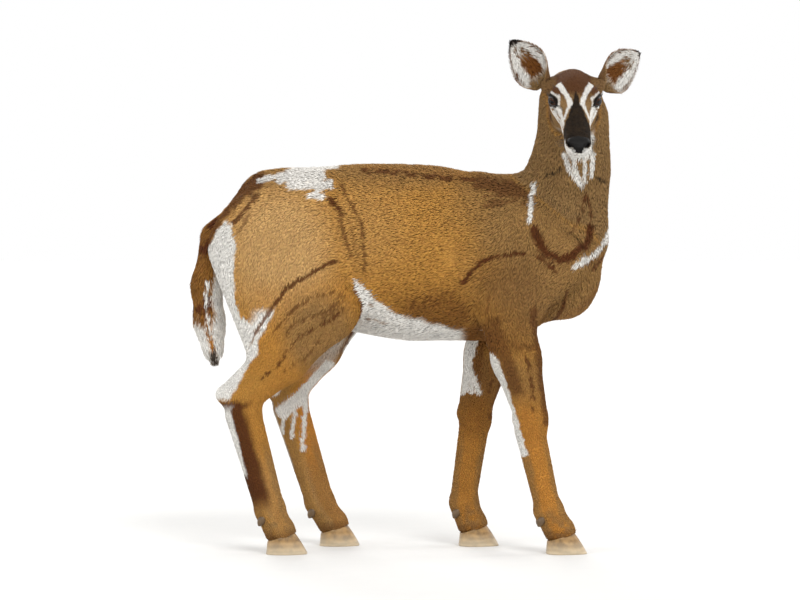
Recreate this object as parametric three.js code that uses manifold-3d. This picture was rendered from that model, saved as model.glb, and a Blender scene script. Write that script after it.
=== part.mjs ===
// A white-tailed deer doe at life size, standing with her head turned to her right.
// Millimetres. +X runs from tail to chest, +Y to her left side and +Z up; the hooves stand on Z = 0.
//
// The outer line of the coat is one smooth surface: the soft union of named masses (bars, eggs and the
// lofted skull). A capsule blank laid along the spine of each region is pushed out to that surface, and
// flat cuts part the regions, so every piece is a closed solid whose outline runs on into its neighbour.
import * as THREE from 'three';
import { mergeVertices } from 'three/addons/utils/BufferGeometryUtils.js';
import loadManifold from 'manifold-3d';

const wasm = await loadManifold();
wasm.setup();

const point = (x, y, z) => new THREE.Vector3(x, y, z);
const { clamp, lerp, smoothstep, degToRad } = THREE.MathUtils;
const FORWARD = point(1, 0, 0);
const LEFT = point(0, 1, 0);
const UP = point(0, 0, 1);

// ---------------------------------------------------------------- driving dimensions
const GAP = 0.3; // clearance between neighbouring pieces
const SIDES = { right: -1, left: 1 };

// Head: origin at the poll, its own axes run forward (u), to her left (v) and up (w).
const HEAD_AT = point(420, -12, 1121);
const HEAD_PITCH = degToRad(30); // nose below the horizontal
const HEAD_SCALE = 1.06;
const HEAD_U = point(0, -Math.cos(HEAD_PITCH), -Math.sin(HEAD_PITCH));
const HEAD_V = point(1, 0, 0);
const HEAD_W = point(0, -Math.sin(HEAD_PITCH), Math.cos(HEAD_PITCH));
const MOUTH_LEVEL = -15;
const MOUTH_CORNER = 168;
const NOSE_BACK = 259;

// Skull sections: distance from the poll, half width, height of the widest line, top, bottom.
const SKULL = [
  [-22, 22, 22, 40, 4],
  [12, 38, 20, 62, -32],
  [50, 45, 20, 69, -57],
  [88, 47, 20, 65, -58],
  [120, 41, 12, 53, -53],
  [155, 34, 4, 42, -47],
  [190, 31, -3, 33, -42],
  [225, 29.5, -7, 25, -38],
  [250, 29.5, -8, 18, -35],
  [266, 23.5, -7, 12, -29],
  [276, 11, -5, 4, -17],
];
const SKULL_SQUARENESS = 2.25;

const EYE_RADIUS = 18;
const EYE = { forward: 99, out: 41.5, up: 29 };
const EYE_LOOK = { forward: 0.68, out: 0.72, up: 0.1 };
const EYE_OPENING = point(17, 12, 13); // half sizes: along the lids, across them, and into the head

const EAR_LENGTH = 138;
const EAR_HALF_WIDTH = 54;
const EAR_THICKNESS = 5.5;
const EAR_BASE = { forward: 8, out: 56, up: 18 };
const EAR_LEAN = { right: point(-0.62, 0.16, 0.77), left: point(0.74, 0.34, 0.58) };

// Limb joints, listed from the body to the ground.
const JOINTS = {
  foreleg_right: {
    elbow: point(258, -106, 578), knee: point(316, -88, 314),
    fetlock: point(361, -84, 106), coronet: point(391, -83, 56),
  },
  foreleg_left: {
    elbow: point(242, 106, 578), knee: point(186, 90, 316),
    fetlock: point(160, 84, 108), coronet: point(183, 84, 56),
  },
  hindleg_right: {
    stifle: point(-178, -110, 584), hock: point(-378, -92, 354),
    fetlock: point(-314, -88, 108), coronet: point(-287, -87, 56),
  },
  hindleg_left: {
    stifle: point(-132, 108, 612), hock: point(-272, 92, 360),
    fetlock: point(-199, 88, 108), coronet: point(-163, 88, 56),
  },
};
const HIP = point(-315, 82, 742);
const SEAT_BONE = point(-383, 60, 735);

// Each half hoof: the sole and the top edge run from heel to tip, measured from the coronet.
const HOOF = { soleHeel: -37, soleTip: 63, topHeel: -34, topTip: 29, width: 33, topWidth: 31, cleft: 4 };
const HOOF_TOP = { height: 43, slope: 0.36 }; // the top edge rises towards the toe
const DEWCLAW = { half: point(10, 9, 15), back: 20, spread: 20, drop: 26, tilt: degToRad(30) };

// Seams between the pieces.
const NECK_SEAM = { at: point(410, 0, 842), facing: point(0.394, 0, 0.919) };
const THROAT_SEAM = { at: point(420, -8, 1082), facing: point(0, -0.69, 0.724) };
const TAIL_SEAM = { at: point(-424, 0, 806), facing: point(-0.64, 0, -0.77) };
const BARREL_REAR = -140;
const BARREL_FRONT = 136;
// Each leg's piece reaches up into the body under an arch; below the belly its room is wider.
const FORE_ARCH = { middle: 312, half: 142, spring: 600, rise: 130, inner: 44 };
const HIND_ARCH = { middle: -270, half: 200, spring: 560, rise: 150, inner: 40 };
const FORE_CUTS = { knee: 356, fetlock: 132 };
const HIND_CUTS = { knee: 436, fetlock: 134 };
const BELLY_LEVEL = 505;
const STRIDE_HALF = 235;
const TUCK = 6; // inside the torso a leg's blank lies this much under the torso's own facets

const COATS = {
  trunk: '#a8763f', rump: '#b08650', neck: '#856640', head: '#6a4a2c', jaw: '#d9d4ca',
  ear: '#8a6a45', tail: '#73452c', thigh: '#96692f', cannon: '#a6763e', foot: '#8a6233',
};
const HORN = '#3c3028';
const DARK_SKIN = '#15110f';

// ---------------------------------------------------------------- masses
const side = (v, s) => point(v.x, v.y * s, v.z);
const shifted = (v, x, y, z) => point(v.x + x, v.y + y, v.z + z);
const between = (a, b, t) => new THREE.Vector3().lerpVectors(a, b, t);

/** A round bar that tapers from one end to the other, `flat` times as wide across as it is tall. */
function bar(from, to, r0, r1, flat, blend, across = LEFT) {
  const stretch = 1 / flat - 1;
  const run = to.clone().sub(from);
  run.addScaledVector(across, run.dot(across) * stretch);
  const q = new THREE.Vector3();
  const distance = (p) => {
    q.subVectors(p, from);
    q.addScaledVector(across, q.dot(across) * stretch);
    const t = clamp(q.dot(run) / run.lengthSq(), 0, 1);
    return q.addScaledVector(run, -t).length() - lerp(r0, r1, t);
  };
  return { distance, blend };
}

/** An ellipsoid with radii along the three given axes. */
function egg(centre, radii, blend, axes = [FORWARD, LEFT, UP]) {
  const q = new THREE.Vector3();
  const distance = (p) => {
    q.subVectors(p, centre);
    q.set(q.dot(axes[0]), q.dot(axes[1]), q.dot(axes[2])).divide(radii);
    const unit = q.length();
    return (unit * (unit - 1)) / Math.max(q.divide(radii).length(), 1e-9);
  };
  return { distance, blend };
}

/** Half width, waist, top and bottom of the skull at a distance from the poll. */
function skullSection(u) {
  const last = SKULL.length - 1;
  const slope = (i, column) => {
    const a = SKULL[Math.max(i - 1, 0)];
    const b = SKULL[Math.min(i + 1, last)];
    return (b[column] - a[column]) / (b[0] - a[0]);
  };
  let i = 0;
  while (i < last - 1 && SKULL[i + 1][0] < u) i += 1;
  const span = SKULL[i + 1][0] - SKULL[i][0];
  const x = (u - SKULL[i][0]) / span;
  return [1, 2, 3, 4].map((column) =>
    (2 * x ** 3 - 3 * x ** 2 + 1) * SKULL[i][column]
    + (x ** 3 - 2 * x ** 2 + x) * span * slope(i, column)
    + (3 * x ** 2 - 2 * x ** 3) * SKULL[i + 1][column]
    + (x ** 3 - x ** 2) * span * slope(i + 1, column));
}

function skull(blend) {
  const q = new THREE.Vector3();
  const distance = (p) => {
    q.subVectors(p, HEAD_AT).divideScalar(HEAD_SCALE);
    const u = q.dot(HEAD_U);
    const v = q.dot(HEAD_V);
    const w = q.dot(HEAD_W);
    const inside = clamp(u, SKULL[0][0], SKULL[SKULL.length - 1][0]);
    const [half, waist, top, bottom] = skullSection(inside);
    const y = w - waist;
    const tall = y > 0 ? top - waist : waist - bottom;
    const power = (Math.abs(v) / half) ** SKULL_SQUARENESS + (Math.abs(y) / tall) ** SKULL_SQUARENESS;
    const size = Math.max(power ** (1 / SKULL_SQUARENESS), 1e-3);
    const d = Math.hypot(v, y) * (1 - 1 / size);
    const over = Math.abs(u - inside);
    return (over > 0 ? Math.hypot(Math.max(d, 0), over) : d) * HEAD_SCALE;
  };
  return { distance, blend };
}

const headPoint = (u, v, w) => HEAD_AT.clone()
  .addScaledVector(HEAD_U, u * HEAD_SCALE)
  .addScaledVector(HEAD_V, v * HEAD_SCALE)
  .addScaledVector(HEAD_W, w * HEAD_SCALE);
const headDirection = (u, v, w) => point(0, 0, 0)
  .addScaledVector(HEAD_U, u).addScaledVector(HEAD_V, v).addScaledVector(HEAD_W, w).normalize();
const headEgg = (u, v, w, radii, blend) =>
  egg(headPoint(u, v, w), radii.multiplyScalar(HEAD_SCALE), blend, [HEAD_U, HEAD_V, HEAD_W]);
const headBar = (from, to, r0, r1, flat, blend) =>
  bar(headPoint(...from), headPoint(...to), r0 * HEAD_SCALE, r1 * HEAD_SCALE, flat, blend, HEAD_V);

const headHalf = (s) => [
  headEgg(94, s * 41, 30, point(31, 15, 25), 20), // brow and eye socket
  headBar([70, s * 47, 2], [128, s * 35, 4], 9, 7, 0.8, 18), // cheek bone
  headEgg(66, s * 33, -26, point(40, 17, 30), 16), // chewing muscle
  headEgg(256, s * 16, 3, point(13, 11, 11), 8), // nostril wing
  headBar([16, s * 34, 22], [8, s * 56, 20], 24, 20, 1, 16), // root of the ear
];

const trunkHalf = (s) => [
  bar(point(-205, s * 64, 838), point(-342, s * 72, 782), 82, 92, 0.7, 40), // croup
  bar(point(-180, s * 88, 864), point(-212, s * 84, 842), 25, 30, 1, 30), // point of the hip
  bar(point(270, s * 58, 842), point(388, s * 92, 716), 40, 62, 0.6, 36), // shoulder blade
];

const trunkMasses = [
  egg(point(225, 0, 712), point(205, 118, 198), 1), // chest
  egg(point(45, 0, 727), point(265, 140, 216), 60), // ribs
  egg(point(-125, 0, 744), point(230, 128, 197), 60), // loin and belly
  egg(point(-290, 0, 775), point(142, 104, 150), 60), // pelvis
  egg(point(410, 0, 697), point(85, 84, 131), 50), // brisket
  bar(point(-330, 0, 880), point(235, 0, 864), 34, 34, 1, 60), // back
  ...trunkHalf(-1),
  ...trunkHalf(1),
];

const neckMasses = [
  bar(point(352, 0, 800), point(410, 0, 935), 118, 84, 0.64, 60), // root
  bar(point(413, 0, 935), point(417, 2, 1095), 84, 78, 0.84, 40), // upper neck
  bar(point(334, 0, 868), point(394, 3, 955), 26, 46, 0.7, 40), // crest
  bar(point(474, 6, 760), point(475, -20, 1058), 36, 31, 1, 40), // throat
];

const footMasses = ({ fetlock, coronet }) => [
  egg(fetlock, point(36, 30, 34), 12),
  bar(fetlock, coronet, 30, 33, 1, 10), // pastern
  bar(shifted(fetlock, -19, 0, -6), shifted(coronet, -21, 0, -9), 18, 19, 1.2, 8), // heel
  bar(coronet, shifted(coronet, 14, 0, -24), 32, 27, 1.1, 8),
];

function forelegMasses(s, { elbow, knee, fetlock, coronet }) {
  const forearm = between(elbow, knee, 0.4);
  return [
    bar(point(300, s * 84, 765), shifted(elbow, 0, s * -4, 34), 80, 56, 0.6, 40), // triceps
    bar(point(378, s * 88, 700), shifted(elbow, 28, s * -3, 16), 58, 50, 0.64, 36), // upper arm
    bar(elbow, forearm, 65, 58, 0.7, 30),
    bar(forearm, shifted(knee, 0, 0, 26), 58, 41, 0.76, 20),
    bar(shifted(elbow, -38, 0, 26), shifted(elbow, -24, 0, -56), 24, 20, 0.8, 20), // point of the elbow
    egg(shifted(knee, 3, 0, 0), point(40, 34, 42), 16),
    egg(shifted(knee, -31, 0, 12), point(14, 15, 18), 10),
    bar(shifted(knee, 2, 0, -18), fetlock, 34, 29, 0.86, 12), // cannon bone
    bar(shifted(knee, -22, 0, -18), shifted(fetlock, -19, 0, 10), 17, 16, 1, 8), // tendon
    ...footMasses({ fetlock, coronet }),
  ];
}

function hindlegMasses(s, { stifle, hock, fetlock, coronet }) {
  const hip = side(HIP, s);
  const heel = shifted(hock, -46, 0, 32);
  const calf = between(stifle, hock, 0.5);
  return [
    bar(hip, stifle, 118, 68, 0.58, 45), // thigh
    bar(side(SEAT_BONE, s), shifted(calf, -48, 0, 30), 82, 46, 0.6, 40), // buttock
    bar(shifted(hip, -15, s * 2, -70), shifted(calf, -12, 0, 15), 84, 44, 0.62, 40), // back of the thigh
    bar(shifted(hip, 90, s * -4, 20), shifted(stifle, 8, 0, 22), 70, 54, 0.6, 45), // front of the thigh
    bar(stifle, calf, 67, 53, 0.64, 30),
    bar(calf, shifted(hock, 2, 0, 26), 53, 38, 0.74, 20),
    bar(shifted(calf, -44, 0, 12), heel, 26, 20, 0.85, 14), // hamstring
    bar(shifted(calf, -14, 0, 0), between(hock, heel, 0.55), 30, 20, 0.5, 14), // skin before the hamstring
    egg(hock, point(43, 33, 44), 16),
    bar(shifted(hock, -8, 0, 4), heel, 28, 20, 0.88, 12), // point of the hock
    bar(shifted(hock, 3, 0, -18), fetlock, 41, 35, 0.8, 12), // cannon bone
    bar(shifted(hock, -26, 0, -20), shifted(fetlock, -21, 0, 10), 19, 17, 1, 8), // tendon
    ...footMasses({ fetlock, coronet }),
  ];
}

const TAIL_SPINE = [
  point(-392, 0, 838), point(-456, 0, 768), point(-474, 0, 645), point(-466, 0, 552), point(-457, 0, 482),
];
const tailMasses = [
  bar(TAIL_SPINE[0], TAIL_SPINE[1], 27, 30, 1.45, 24),
  bar(TAIL_SPINE[1], TAIL_SPINE[2], 30, 37, 1.35, 24),
  bar(TAIL_SPINE[2], TAIL_SPINE[3], 37, 37, 1.3, 24),
  bar(TAIL_SPINE[3], TAIL_SPINE[4], 37, 26, 1.2, 24),
];

function softMin(a, b, blend) {
  const h = Math.max(blend - Math.abs(a - b), 0) / blend;
  return Math.min(a, b) - (h * h * blend) / 4;
}

const union = (masses) => (p) => masses.reduce((f, m) => softMin(f, m.distance(p), m.blend), 400);
const bodySurface = union([
  ...trunkMasses, ...neckMasses, skull(30), ...headHalf(-1), ...headHalf(1),
  ...forelegMasses(-1, JOINTS.foreleg_right), ...forelegMasses(1, JOINTS.foreleg_left),
  ...hindlegMasses(-1, JOINTS.hindleg_right), ...hindlegMasses(1, JOINTS.hindleg_left),
]);
const tailSurface = union(tailMasses);

// ---------------------------------------------------------------- blanks and cuts
/** Positions only, with shared vertices merged. */
function bare(geometry) {
  geometry.deleteAttribute('normal');
  geometry.deleteAttribute('uv');
  return mergeVertices(geometry, 1e-5);
}

function solid(geometry) {
  const { index, attributes } = bare(geometry);
  const corners = Array.from({ length: index.count }, (_, i) => index.getX(i));
  const triVerts = [];
  for (let i = 0; i < corners.length; i += 3) {
    const triangle = corners.slice(i, i + 3);
    if (new Set(triangle).size === 3) triVerts.push(...triangle);
  }
  const vertProperties = new Float32Array(attributes.position.array);
  return new wasm.Manifold(new wasm.Mesh({ numProp: 3, vertProperties, triVerts: new Uint32Array(triVerts) }));
}

/** Moves every vertex of a blank to the place that a function gives for it. */
function reshape(geometry, place) {
  const blank = bare(geometry);
  const vertices = blank.attributes.position;
  const vertex = new THREE.Vector3();
  for (let i = 0; i < vertices.count; i += 1) {
    const { x, y, z } = place(vertex.fromBufferAttribute(vertices, i));
    vertices.setXYZ(i, x, y, z);
  }
  return blank;
}

/** Length of a ray from inside a surface to that surface or to the first limiting plane. */
function rayLength(from, direction, surface, limits) {
  let most = 700;
  for (const { at, facing } of limits) {
    const speed = direction.dot(facing);
    if (speed > 1e-6) most = Math.min(most, Math.max(0.5, at.clone().sub(from).dot(facing) / speed));
  }
  const value = (t) => surface(from.clone().addScaledVector(direction, t));
  let inside = 0;
  let outside = 0;
  let depth = value(0);
  while (depth < 0 && outside < most) {
    inside = outside;
    outside += Math.max(1.5, -0.7 * depth);
    depth = value(outside);
  }
  if (depth < 0) return most;
  for (let i = 0; i < 12; i += 1) {
    const middle = (inside + outside) / 2;
    if (value(middle) < 0) inside = middle;
    else outside = middle;
  }
  return Math.min(inside, most);
}

/** A capsule blank bent along a spine and pushed out to a surface. */
function wrap(spinePoints, surface, { around, along, caps, up, limits = [], proud = 0 }) {
  const spine = new THREE.CatmullRomCurve3(spinePoints);
  return reshape(new THREE.CapsuleGeometry(1, 1, caps, around, along), ({ x, y, z }) => {
    const place = clamp(y, -0.5, 0.5);
    const centre = spine.getPoint(place + 0.5);
    const ahead = spine.getTangent(place + 0.5);
    const across = new THREE.Vector3().crossVectors(ahead, up).normalize();
    const lift = new THREE.Vector3().crossVectors(across, ahead);
    const ray = across.multiplyScalar(x).addScaledVector(ahead, y - place).addScaledVector(lift, z).normalize();
    return centre.addScaledVector(ray, rayLength(centre, ray, surface, limits) + proud);
  });
}

/** All that lies past a plane, as a large block that starts half a gap before it. */
function beyond({ at, facing }, sign = 1) {
  const size = 4000;
  const block = new THREE.BoxGeometry(size, size, size).translate(0, 0, (size - GAP) / 2);
  const normal = facing.clone().normalize().multiplyScalar(sign);
  block.applyQuaternion(new THREE.Quaternion().setFromUnitVectors(UP, normal));
  return solid(block.translate(at.x, at.y, at.z));
}

const behind = (plane) => beyond(plane, -1);
const level = (z) => ({ at: point(0, 0, z), facing: UP });
const station = (x) => ({ at: point(x, 0, 0), facing: FORWARD });
/** A plane moved along its own facing, and turned round if the sign is negative. */
const limit = ({ at, facing }, distance, sign = 1) => ({
  at: at.clone().addScaledVector(facing, distance),
  facing: facing.clone().multiplyScalar(sign),
});

/** The main body of a solid, without slivers that a cut has left beside it. */
const main = (body) => body.decompose().reduce((a, b) => (a.volume() > b.volume() ? a : b));

const pieces = new THREE.Group();

/** Adds a named piece; `shape` is a blank or a solid. */
function add(name, shape, colour, roughness = 0.85) {
  let geometry = shape;
  if (!shape.isBufferGeometry) {
    const { vertProperties, triVerts } = shape.getMesh();
    geometry = new THREE.BufferGeometry();
    geometry.setAttribute('position', new THREE.BufferAttribute(vertProperties, 3));
    geometry.setIndex(new THREE.BufferAttribute(triVerts, 1));
  }
  geometry.computeVertexNormals();
  const mesh = new THREE.Mesh(geometry, new THREE.MeshStandardMaterial({ color: colour, roughness, metalness: 0 }));
  mesh.name = name;
  pieces.add(mesh);
}

// ---------------------------------------------------------------- feet
/** One half of a cloven hoof: flat sole and inner wall, curved outer wall, pointed tip. */
function halfHoof(coronet, outward) {
  return reshape(new THREE.CylinderGeometry(1, 1, 1, 12, 1), ({ x, y, z }) => {
    const rise = y + 0.5;
    const heel = lerp(HOOF.soleHeel, HOOF.topHeel, rise);
    const tip = lerp(HOOF.soleTip, HOOF.topTip, rise);
    const along = lerp(heel, tip, (x + 1) / 2);
    const bulge = z * outward < 0 ? 0.22 + 0.78 * Math.abs(z) * (1 - 0.22 * x) : 0.22 * (1 - Math.abs(z));
    const width = lerp(HOOF.width, HOOF.topWidth, rise) * bulge + HOOF.cleft / 2;
    const top = HOOF_TOP.height - GAP + HOOF_TOP.slope * along;
    return point(coronet.x + along, coronet.y + outward * width, rise * top);
  });
}

function dewclaw(fetlock, outward, grow) {
  const half = DEWCLAW.half.clone().addScalar(grow);
  const horn = new THREE.SphereGeometry(1, 6, 3).scale(half.x, half.y, half.z).rotateY(DEWCLAW.tilt);
  return horn.translate(fetlock.x - DEWCLAW.back, fetlock.y + outward * DEWCLAW.spread, fetlock.z - DEWCLAW.drop);
}

/** The pastern with its two half hooves and two dewclaws. */
function addFoot(leg, s, { fetlock, coronet }, flesh) {
  const hoofTop = { at: point(coronet.x, 0, HOOF_TOP.height), facing: point(-HOOF_TOP.slope, 0, 1).normalize() };
  let skin = flesh.subtract(behind(hoofTop));
  for (const [place, outward] of [['outer', s], ['inner', -s]]) {
    skin = skin.subtract(solid(dewclaw(fetlock, outward, GAP)));
    add(`${leg}_hoof_${place}`, halfHoof(coronet, outward), HORN, 0.5);
    add(`${leg}_dewclaw_${place}`, bare(dewclaw(fetlock, outward, 0)), HORN, 0.5);
  }
  add(`${leg}_foot`, skin, COATS.foot);
}

// ---------------------------------------------------------------- torso, neck and tail
function wrapTorso() {
  const spine = [
    point(-395, 0, 765), point(-290, 0, 760), point(-125, 0, 740), point(45, 0, 732),
    point(225, 0, 735), point(345, 0, 735), point(425, 0, 712),
  ];
  const limits = [limit(NECK_SEAM, 30), limit(level(BELLY_LEVEL), 0, -1)];
  return solid(wrap(spine, bodySurface, { around: 22, along: 18, caps: 3, up: UP, limits }));
}

const wrapTail = (proud) =>
  solid(wrap(TAIL_SPINE, tailSurface, { around: 10, along: 9, caps: 3, up: FORWARD, proud }));

function wrapNeck() {
  const spine = [point(402, 0, 850), point(410, 0, 930), point(420, 0, 1010), point(422, -2, 1066)];
  const limits = [limit(NECK_SEAM, -15, -1), limit(THROAT_SEAM, 25)];
  return solid(wrap(spine, bodySurface, { around: 18, along: 8, caps: 3, up: FORWARD, limits }));
}

const torso = wrapTorso();
const torsoAndNeck = torso.add(wrapNeck());
const tailRoom = wrapTail(2 * GAP);

// ---------------------------------------------------------------- legs
/** An arched block on one side of the body that holds a leg and the muscle above it. */
function legRoom({ middle, half, spring, rise, inner }, s, grow) {
  const depth = 400;
  const outline = new THREE.Shape();
  outline.moveTo(middle - STRIDE_HALF, -60);
  outline.lineTo(middle - STRIDE_HALF, BELLY_LEVEL);
  outline.lineTo(middle - half - grow, BELLY_LEVEL);
  outline.absellipse(middle, spring, half + grow, rise + grow, Math.PI, 0, true);
  outline.lineTo(middle + half + grow, BELLY_LEVEL);
  outline.lineTo(middle + STRIDE_HALF, BELLY_LEVEL);
  outline.lineTo(middle + STRIDE_HALF, -60);
  const room = new THREE.ExtrudeGeometry(outline, { depth, bevelEnabled: false, curveSegments: 14 });
  room.rotateX(Math.PI / 2);
  return solid(room.translate(0, s > 0 ? inner - grow + depth : grow - inner, 0));
}

function addLeg(leg, s, { arch, cuts, around }, joints, spine) {
  const spare = 25; // the blank runs on past its room by this much
  const limits = [
    { at: point(0, s * (arch.inner - 12), 0), facing: point(0, -s, 0) },
    limit(station(arch.middle + STRIDE_HALF), spare),
    limit(station(arch.middle - STRIDE_HALF), -spare, -1),
    limit(level(arch.spring + arch.rise), spare),
  ];
  const legSurface = (p) => bodySurface(p) + TUCK * smoothstep(p.z, arch.spring + 40, arch.spring + 90);
  const blank = wrap(spine, legSurface, { around, along: 15, caps: 2, up: FORWARD, limits });
  const flesh = solid(blank).add(torso).intersect(legRoom(arch, s, 0)).subtract(tailRoom);
  const [knee, fetlock] = [level(cuts.knee), level(cuts.fetlock)];
  add(`${leg}_upper`, main(flesh.subtract(behind(knee))), COATS.thigh);
  add(`${leg}_cannon`, main(flesh.subtract(beyond(knee)).subtract(behind(fetlock))), COATS.cannon);
  addFoot(leg, s, joints, flesh.subtract(beyond(fetlock)));
}

/** The line that a leg's blank follows, from the muscle above the joint down into the hoof. */
const forelegSpine = (s, { elbow, knee, fetlock, coronet }) => [
  point(312, s * 98, 668), shifted(elbow, 10, s * -4, 12), between(elbow, knee, 0.5), knee,
  between(knee, fetlock, 0.5), fetlock, shifted(coronet, 3, 0, -8),
];
const hindlegSpine = (s, { stifle, hock, fetlock, coronet }) => [
  shifted(stifle, -80, s * -16, 84), shifted(stifle, -72, s * -8, -20), shifted(between(stifle, hock, 0.5), -8, 0, 0),
  shifted(hock, -4, 0, 6), between(hock, fetlock, 0.5), fetlock, shifted(coronet, 3, 0, -8),
];

function addTrunk() {
  let flesh = torsoAndNeck.subtract(beyond(NECK_SEAM));
  for (const s of Object.values(SIDES)) {
    flesh = flesh.subtract(legRoom(FORE_ARCH, s, GAP)).subtract(legRoom(HIND_ARCH, s, GAP));
  }
  const dock = tailRoom.subtract(beyond(TAIL_SEAM));
  flesh = flesh.add(dock).subtract(tailRoom.intersect(beyond(TAIL_SEAM)));
  const [rear, front] = [station(BARREL_REAR), station(BARREL_FRONT)];
  add('trunk_rump', flesh.subtract(beyond(rear)), COATS.rump);
  add('trunk_barrel', flesh.subtract(behind(rear)).subtract(beyond(front)), COATS.trunk);
  add('trunk_chest', flesh.subtract(behind(front)), COATS.trunk);
  add('tail', wrapTail(0).subtract(behind(TAIL_SEAM)), COATS.tail);
}

// ---------------------------------------------------------------- head
const eyeCentre = (s) => headPoint(EYE.forward, s * EYE.out, EYE.up);
const eyeLook = (s) => headDirection(EYE_LOOK.forward, s * EYE_LOOK.out, EYE_LOOK.up);
const earRoot = (s) => headPoint(EAR_BASE.forward, s * EAR_BASE.out, EAR_BASE.up);
const earSeam = (name) => ({
  at: earRoot(SIDES[name]).addScaledVector(EAR_LEAN[name], 8),
  facing: EAR_LEAN[name].clone().normalize(),
});

/** A block in the head's own axes, right across the face. */
function faceBlock(u0, u1, w0, w1) {
  const block = new THREE.BoxGeometry(u1 - u0, 200, w1 - w0).translate((u0 + u1) / 2, 0, (w0 + w1) / 2);
  block.scale(HEAD_SCALE, HEAD_SCALE, HEAD_SCALE);
  block.applyMatrix4(new THREE.Matrix4().makeBasis(HEAD_U, HEAD_V, HEAD_W));
  return solid(block.translate(HEAD_AT.x, HEAD_AT.y, HEAD_AT.z));
}

function eyeBall(s, grow) {
  const centre = eyeCentre(s);
  return new THREE.SphereGeometry(EYE_RADIUS + grow, 12, 8).translate(centre.x, centre.y, centre.z);
}

/** Room for one eye: the ball and the opening between the lids. */
function eyeSocket(s) {
  const centre = eyeCentre(s);
  const look = eyeLook(s);
  const lidLine = new THREE.Vector3().crossVectors(HEAD_W, look).normalize();
  const lidLift = new THREE.Vector3().crossVectors(look, lidLine);
  const opening = new THREE.SphereGeometry(1, 10, 6).scale(EYE_OPENING.x, EYE_OPENING.y, EYE_OPENING.z);
  opening.applyMatrix4(new THREE.Matrix4().makeBasis(lidLine, lidLift, look));
  const front = centre.clone().addScaledVector(look, EYE_RADIUS);
  return solid(eyeBall(s, GAP)).add(solid(opening.translate(front.x, front.y, front.z)));
}

/** A leaf rolled round its own length: a tube at the root that opens into a shallow cup. */
function earShell(name) {
  const seam = earSeam(name);
  const axis = seam.facing;
  const look = headDirection(0.9, SIDES[name] * 0.3, 0.2);
  const open = look.addScaledVector(axis, -look.dot(axis)).normalize();
  const across = new THREE.Vector3().crossVectors(open, axis);
  const root = seam.at.clone().addScaledVector(axis, GAP);
  return reshape(new THREE.BoxGeometry(2, 1, 1, 5, 8, 1), ({ x, y, z }) => {
    const along = y + 0.5;
    const arc = EAR_HALF_WIDTH * (1 - 0.985 * along) ** 0.85 * (0.8 + 1.85 * along * (1 - 0.25 * along));
    const roll = 0.55 + 1.75 * (1 - along) ** 4;
    const radius = arc / roll;
    const wall = EAR_THICKNESS * (1 - 0.45 * along) * (1 - 0.35 * x * x) * (z + 0.5);
    const bow = 9 * Math.sin(Math.PI * along);
    return root.clone().addScaledVector(axis, along * EAR_LENGTH)
      .addScaledVector(open, radius - (radius + wall) * Math.cos(roll * x) - bow)
      .addScaledVector(across, (radius + wall) * Math.sin(roll * x));
  });
}

function addHead() {
  const spine = [
    headPoint(8, 0, 12), headPoint(60, 0, 4), headPoint(120, 0, 2), headPoint(190, 0, -5), headPoint(256, 0, -8),
  ];
  const limits = [limit(THROAT_SEAM, -25, -1)];
  let flesh = solid(wrap(spine, bodySurface, { around: 18, along: 15, caps: 3, up: UP, limits }));
  flesh = flesh.subtract(behind(THROAT_SEAM));
  for (const [name, s] of Object.entries(SIDES)) {
    flesh = flesh.subtract(beyond(earSeam(name))).subtract(eyeSocket(s));
    add(`eye_${name}`, bare(eyeBall(s, 0)), DARK_SKIN, 0.08);
    add(`ear_${name}`, earShell(name), COATS.ear);
  }
  const jawRoom = (grow) => faceBlock(MOUTH_CORNER - grow, 400, -200, MOUTH_LEVEL + grow);
  const noseRoom = (grow) => faceBlock(NOSE_BACK - grow, 400, MOUTH_LEVEL + GAP - grow, 100);
  add('lower_jaw', flesh.intersect(jawRoom(0)), COATS.jaw);
  add('nose', flesh.intersect(noseRoom(0)), DARK_SKIN, 0.4);
  add('head', flesh.subtract(jawRoom(GAP)).subtract(noseRoom(GAP)), COATS.head);
}

// ---------------------------------------------------------------- the animal
addHead();
add('neck', torsoAndNeck.subtract(behind(NECK_SEAM)).subtract(beyond(THROAT_SEAM)), COATS.neck);
addTrunk();
for (const [name, s] of Object.entries(SIDES)) {
  const [fore, hind] = [JOINTS[`foreleg_${name}`], JOINTS[`hindleg_${name}`]];
  addLeg(`foreleg_${name}`, s, { arch: FORE_ARCH, cuts: FORE_CUTS, around: 11 }, fore, forelegSpine(s, fore));
  addLeg(`hindleg_${name}`, s, { arch: HIND_ARCH, cuts: HIND_CUTS, around: 13 }, hind, hindlegSpine(s, hind));
}

// The origin is on the floor, under the middle of the outline.
const outline = new THREE.Box3().setFromObject(pieces);
const middle = outline.getCenter(new THREE.Vector3());
pieces.position.set(-middle.x, -middle.y, -outline.min.z);

export default pieces;
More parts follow.
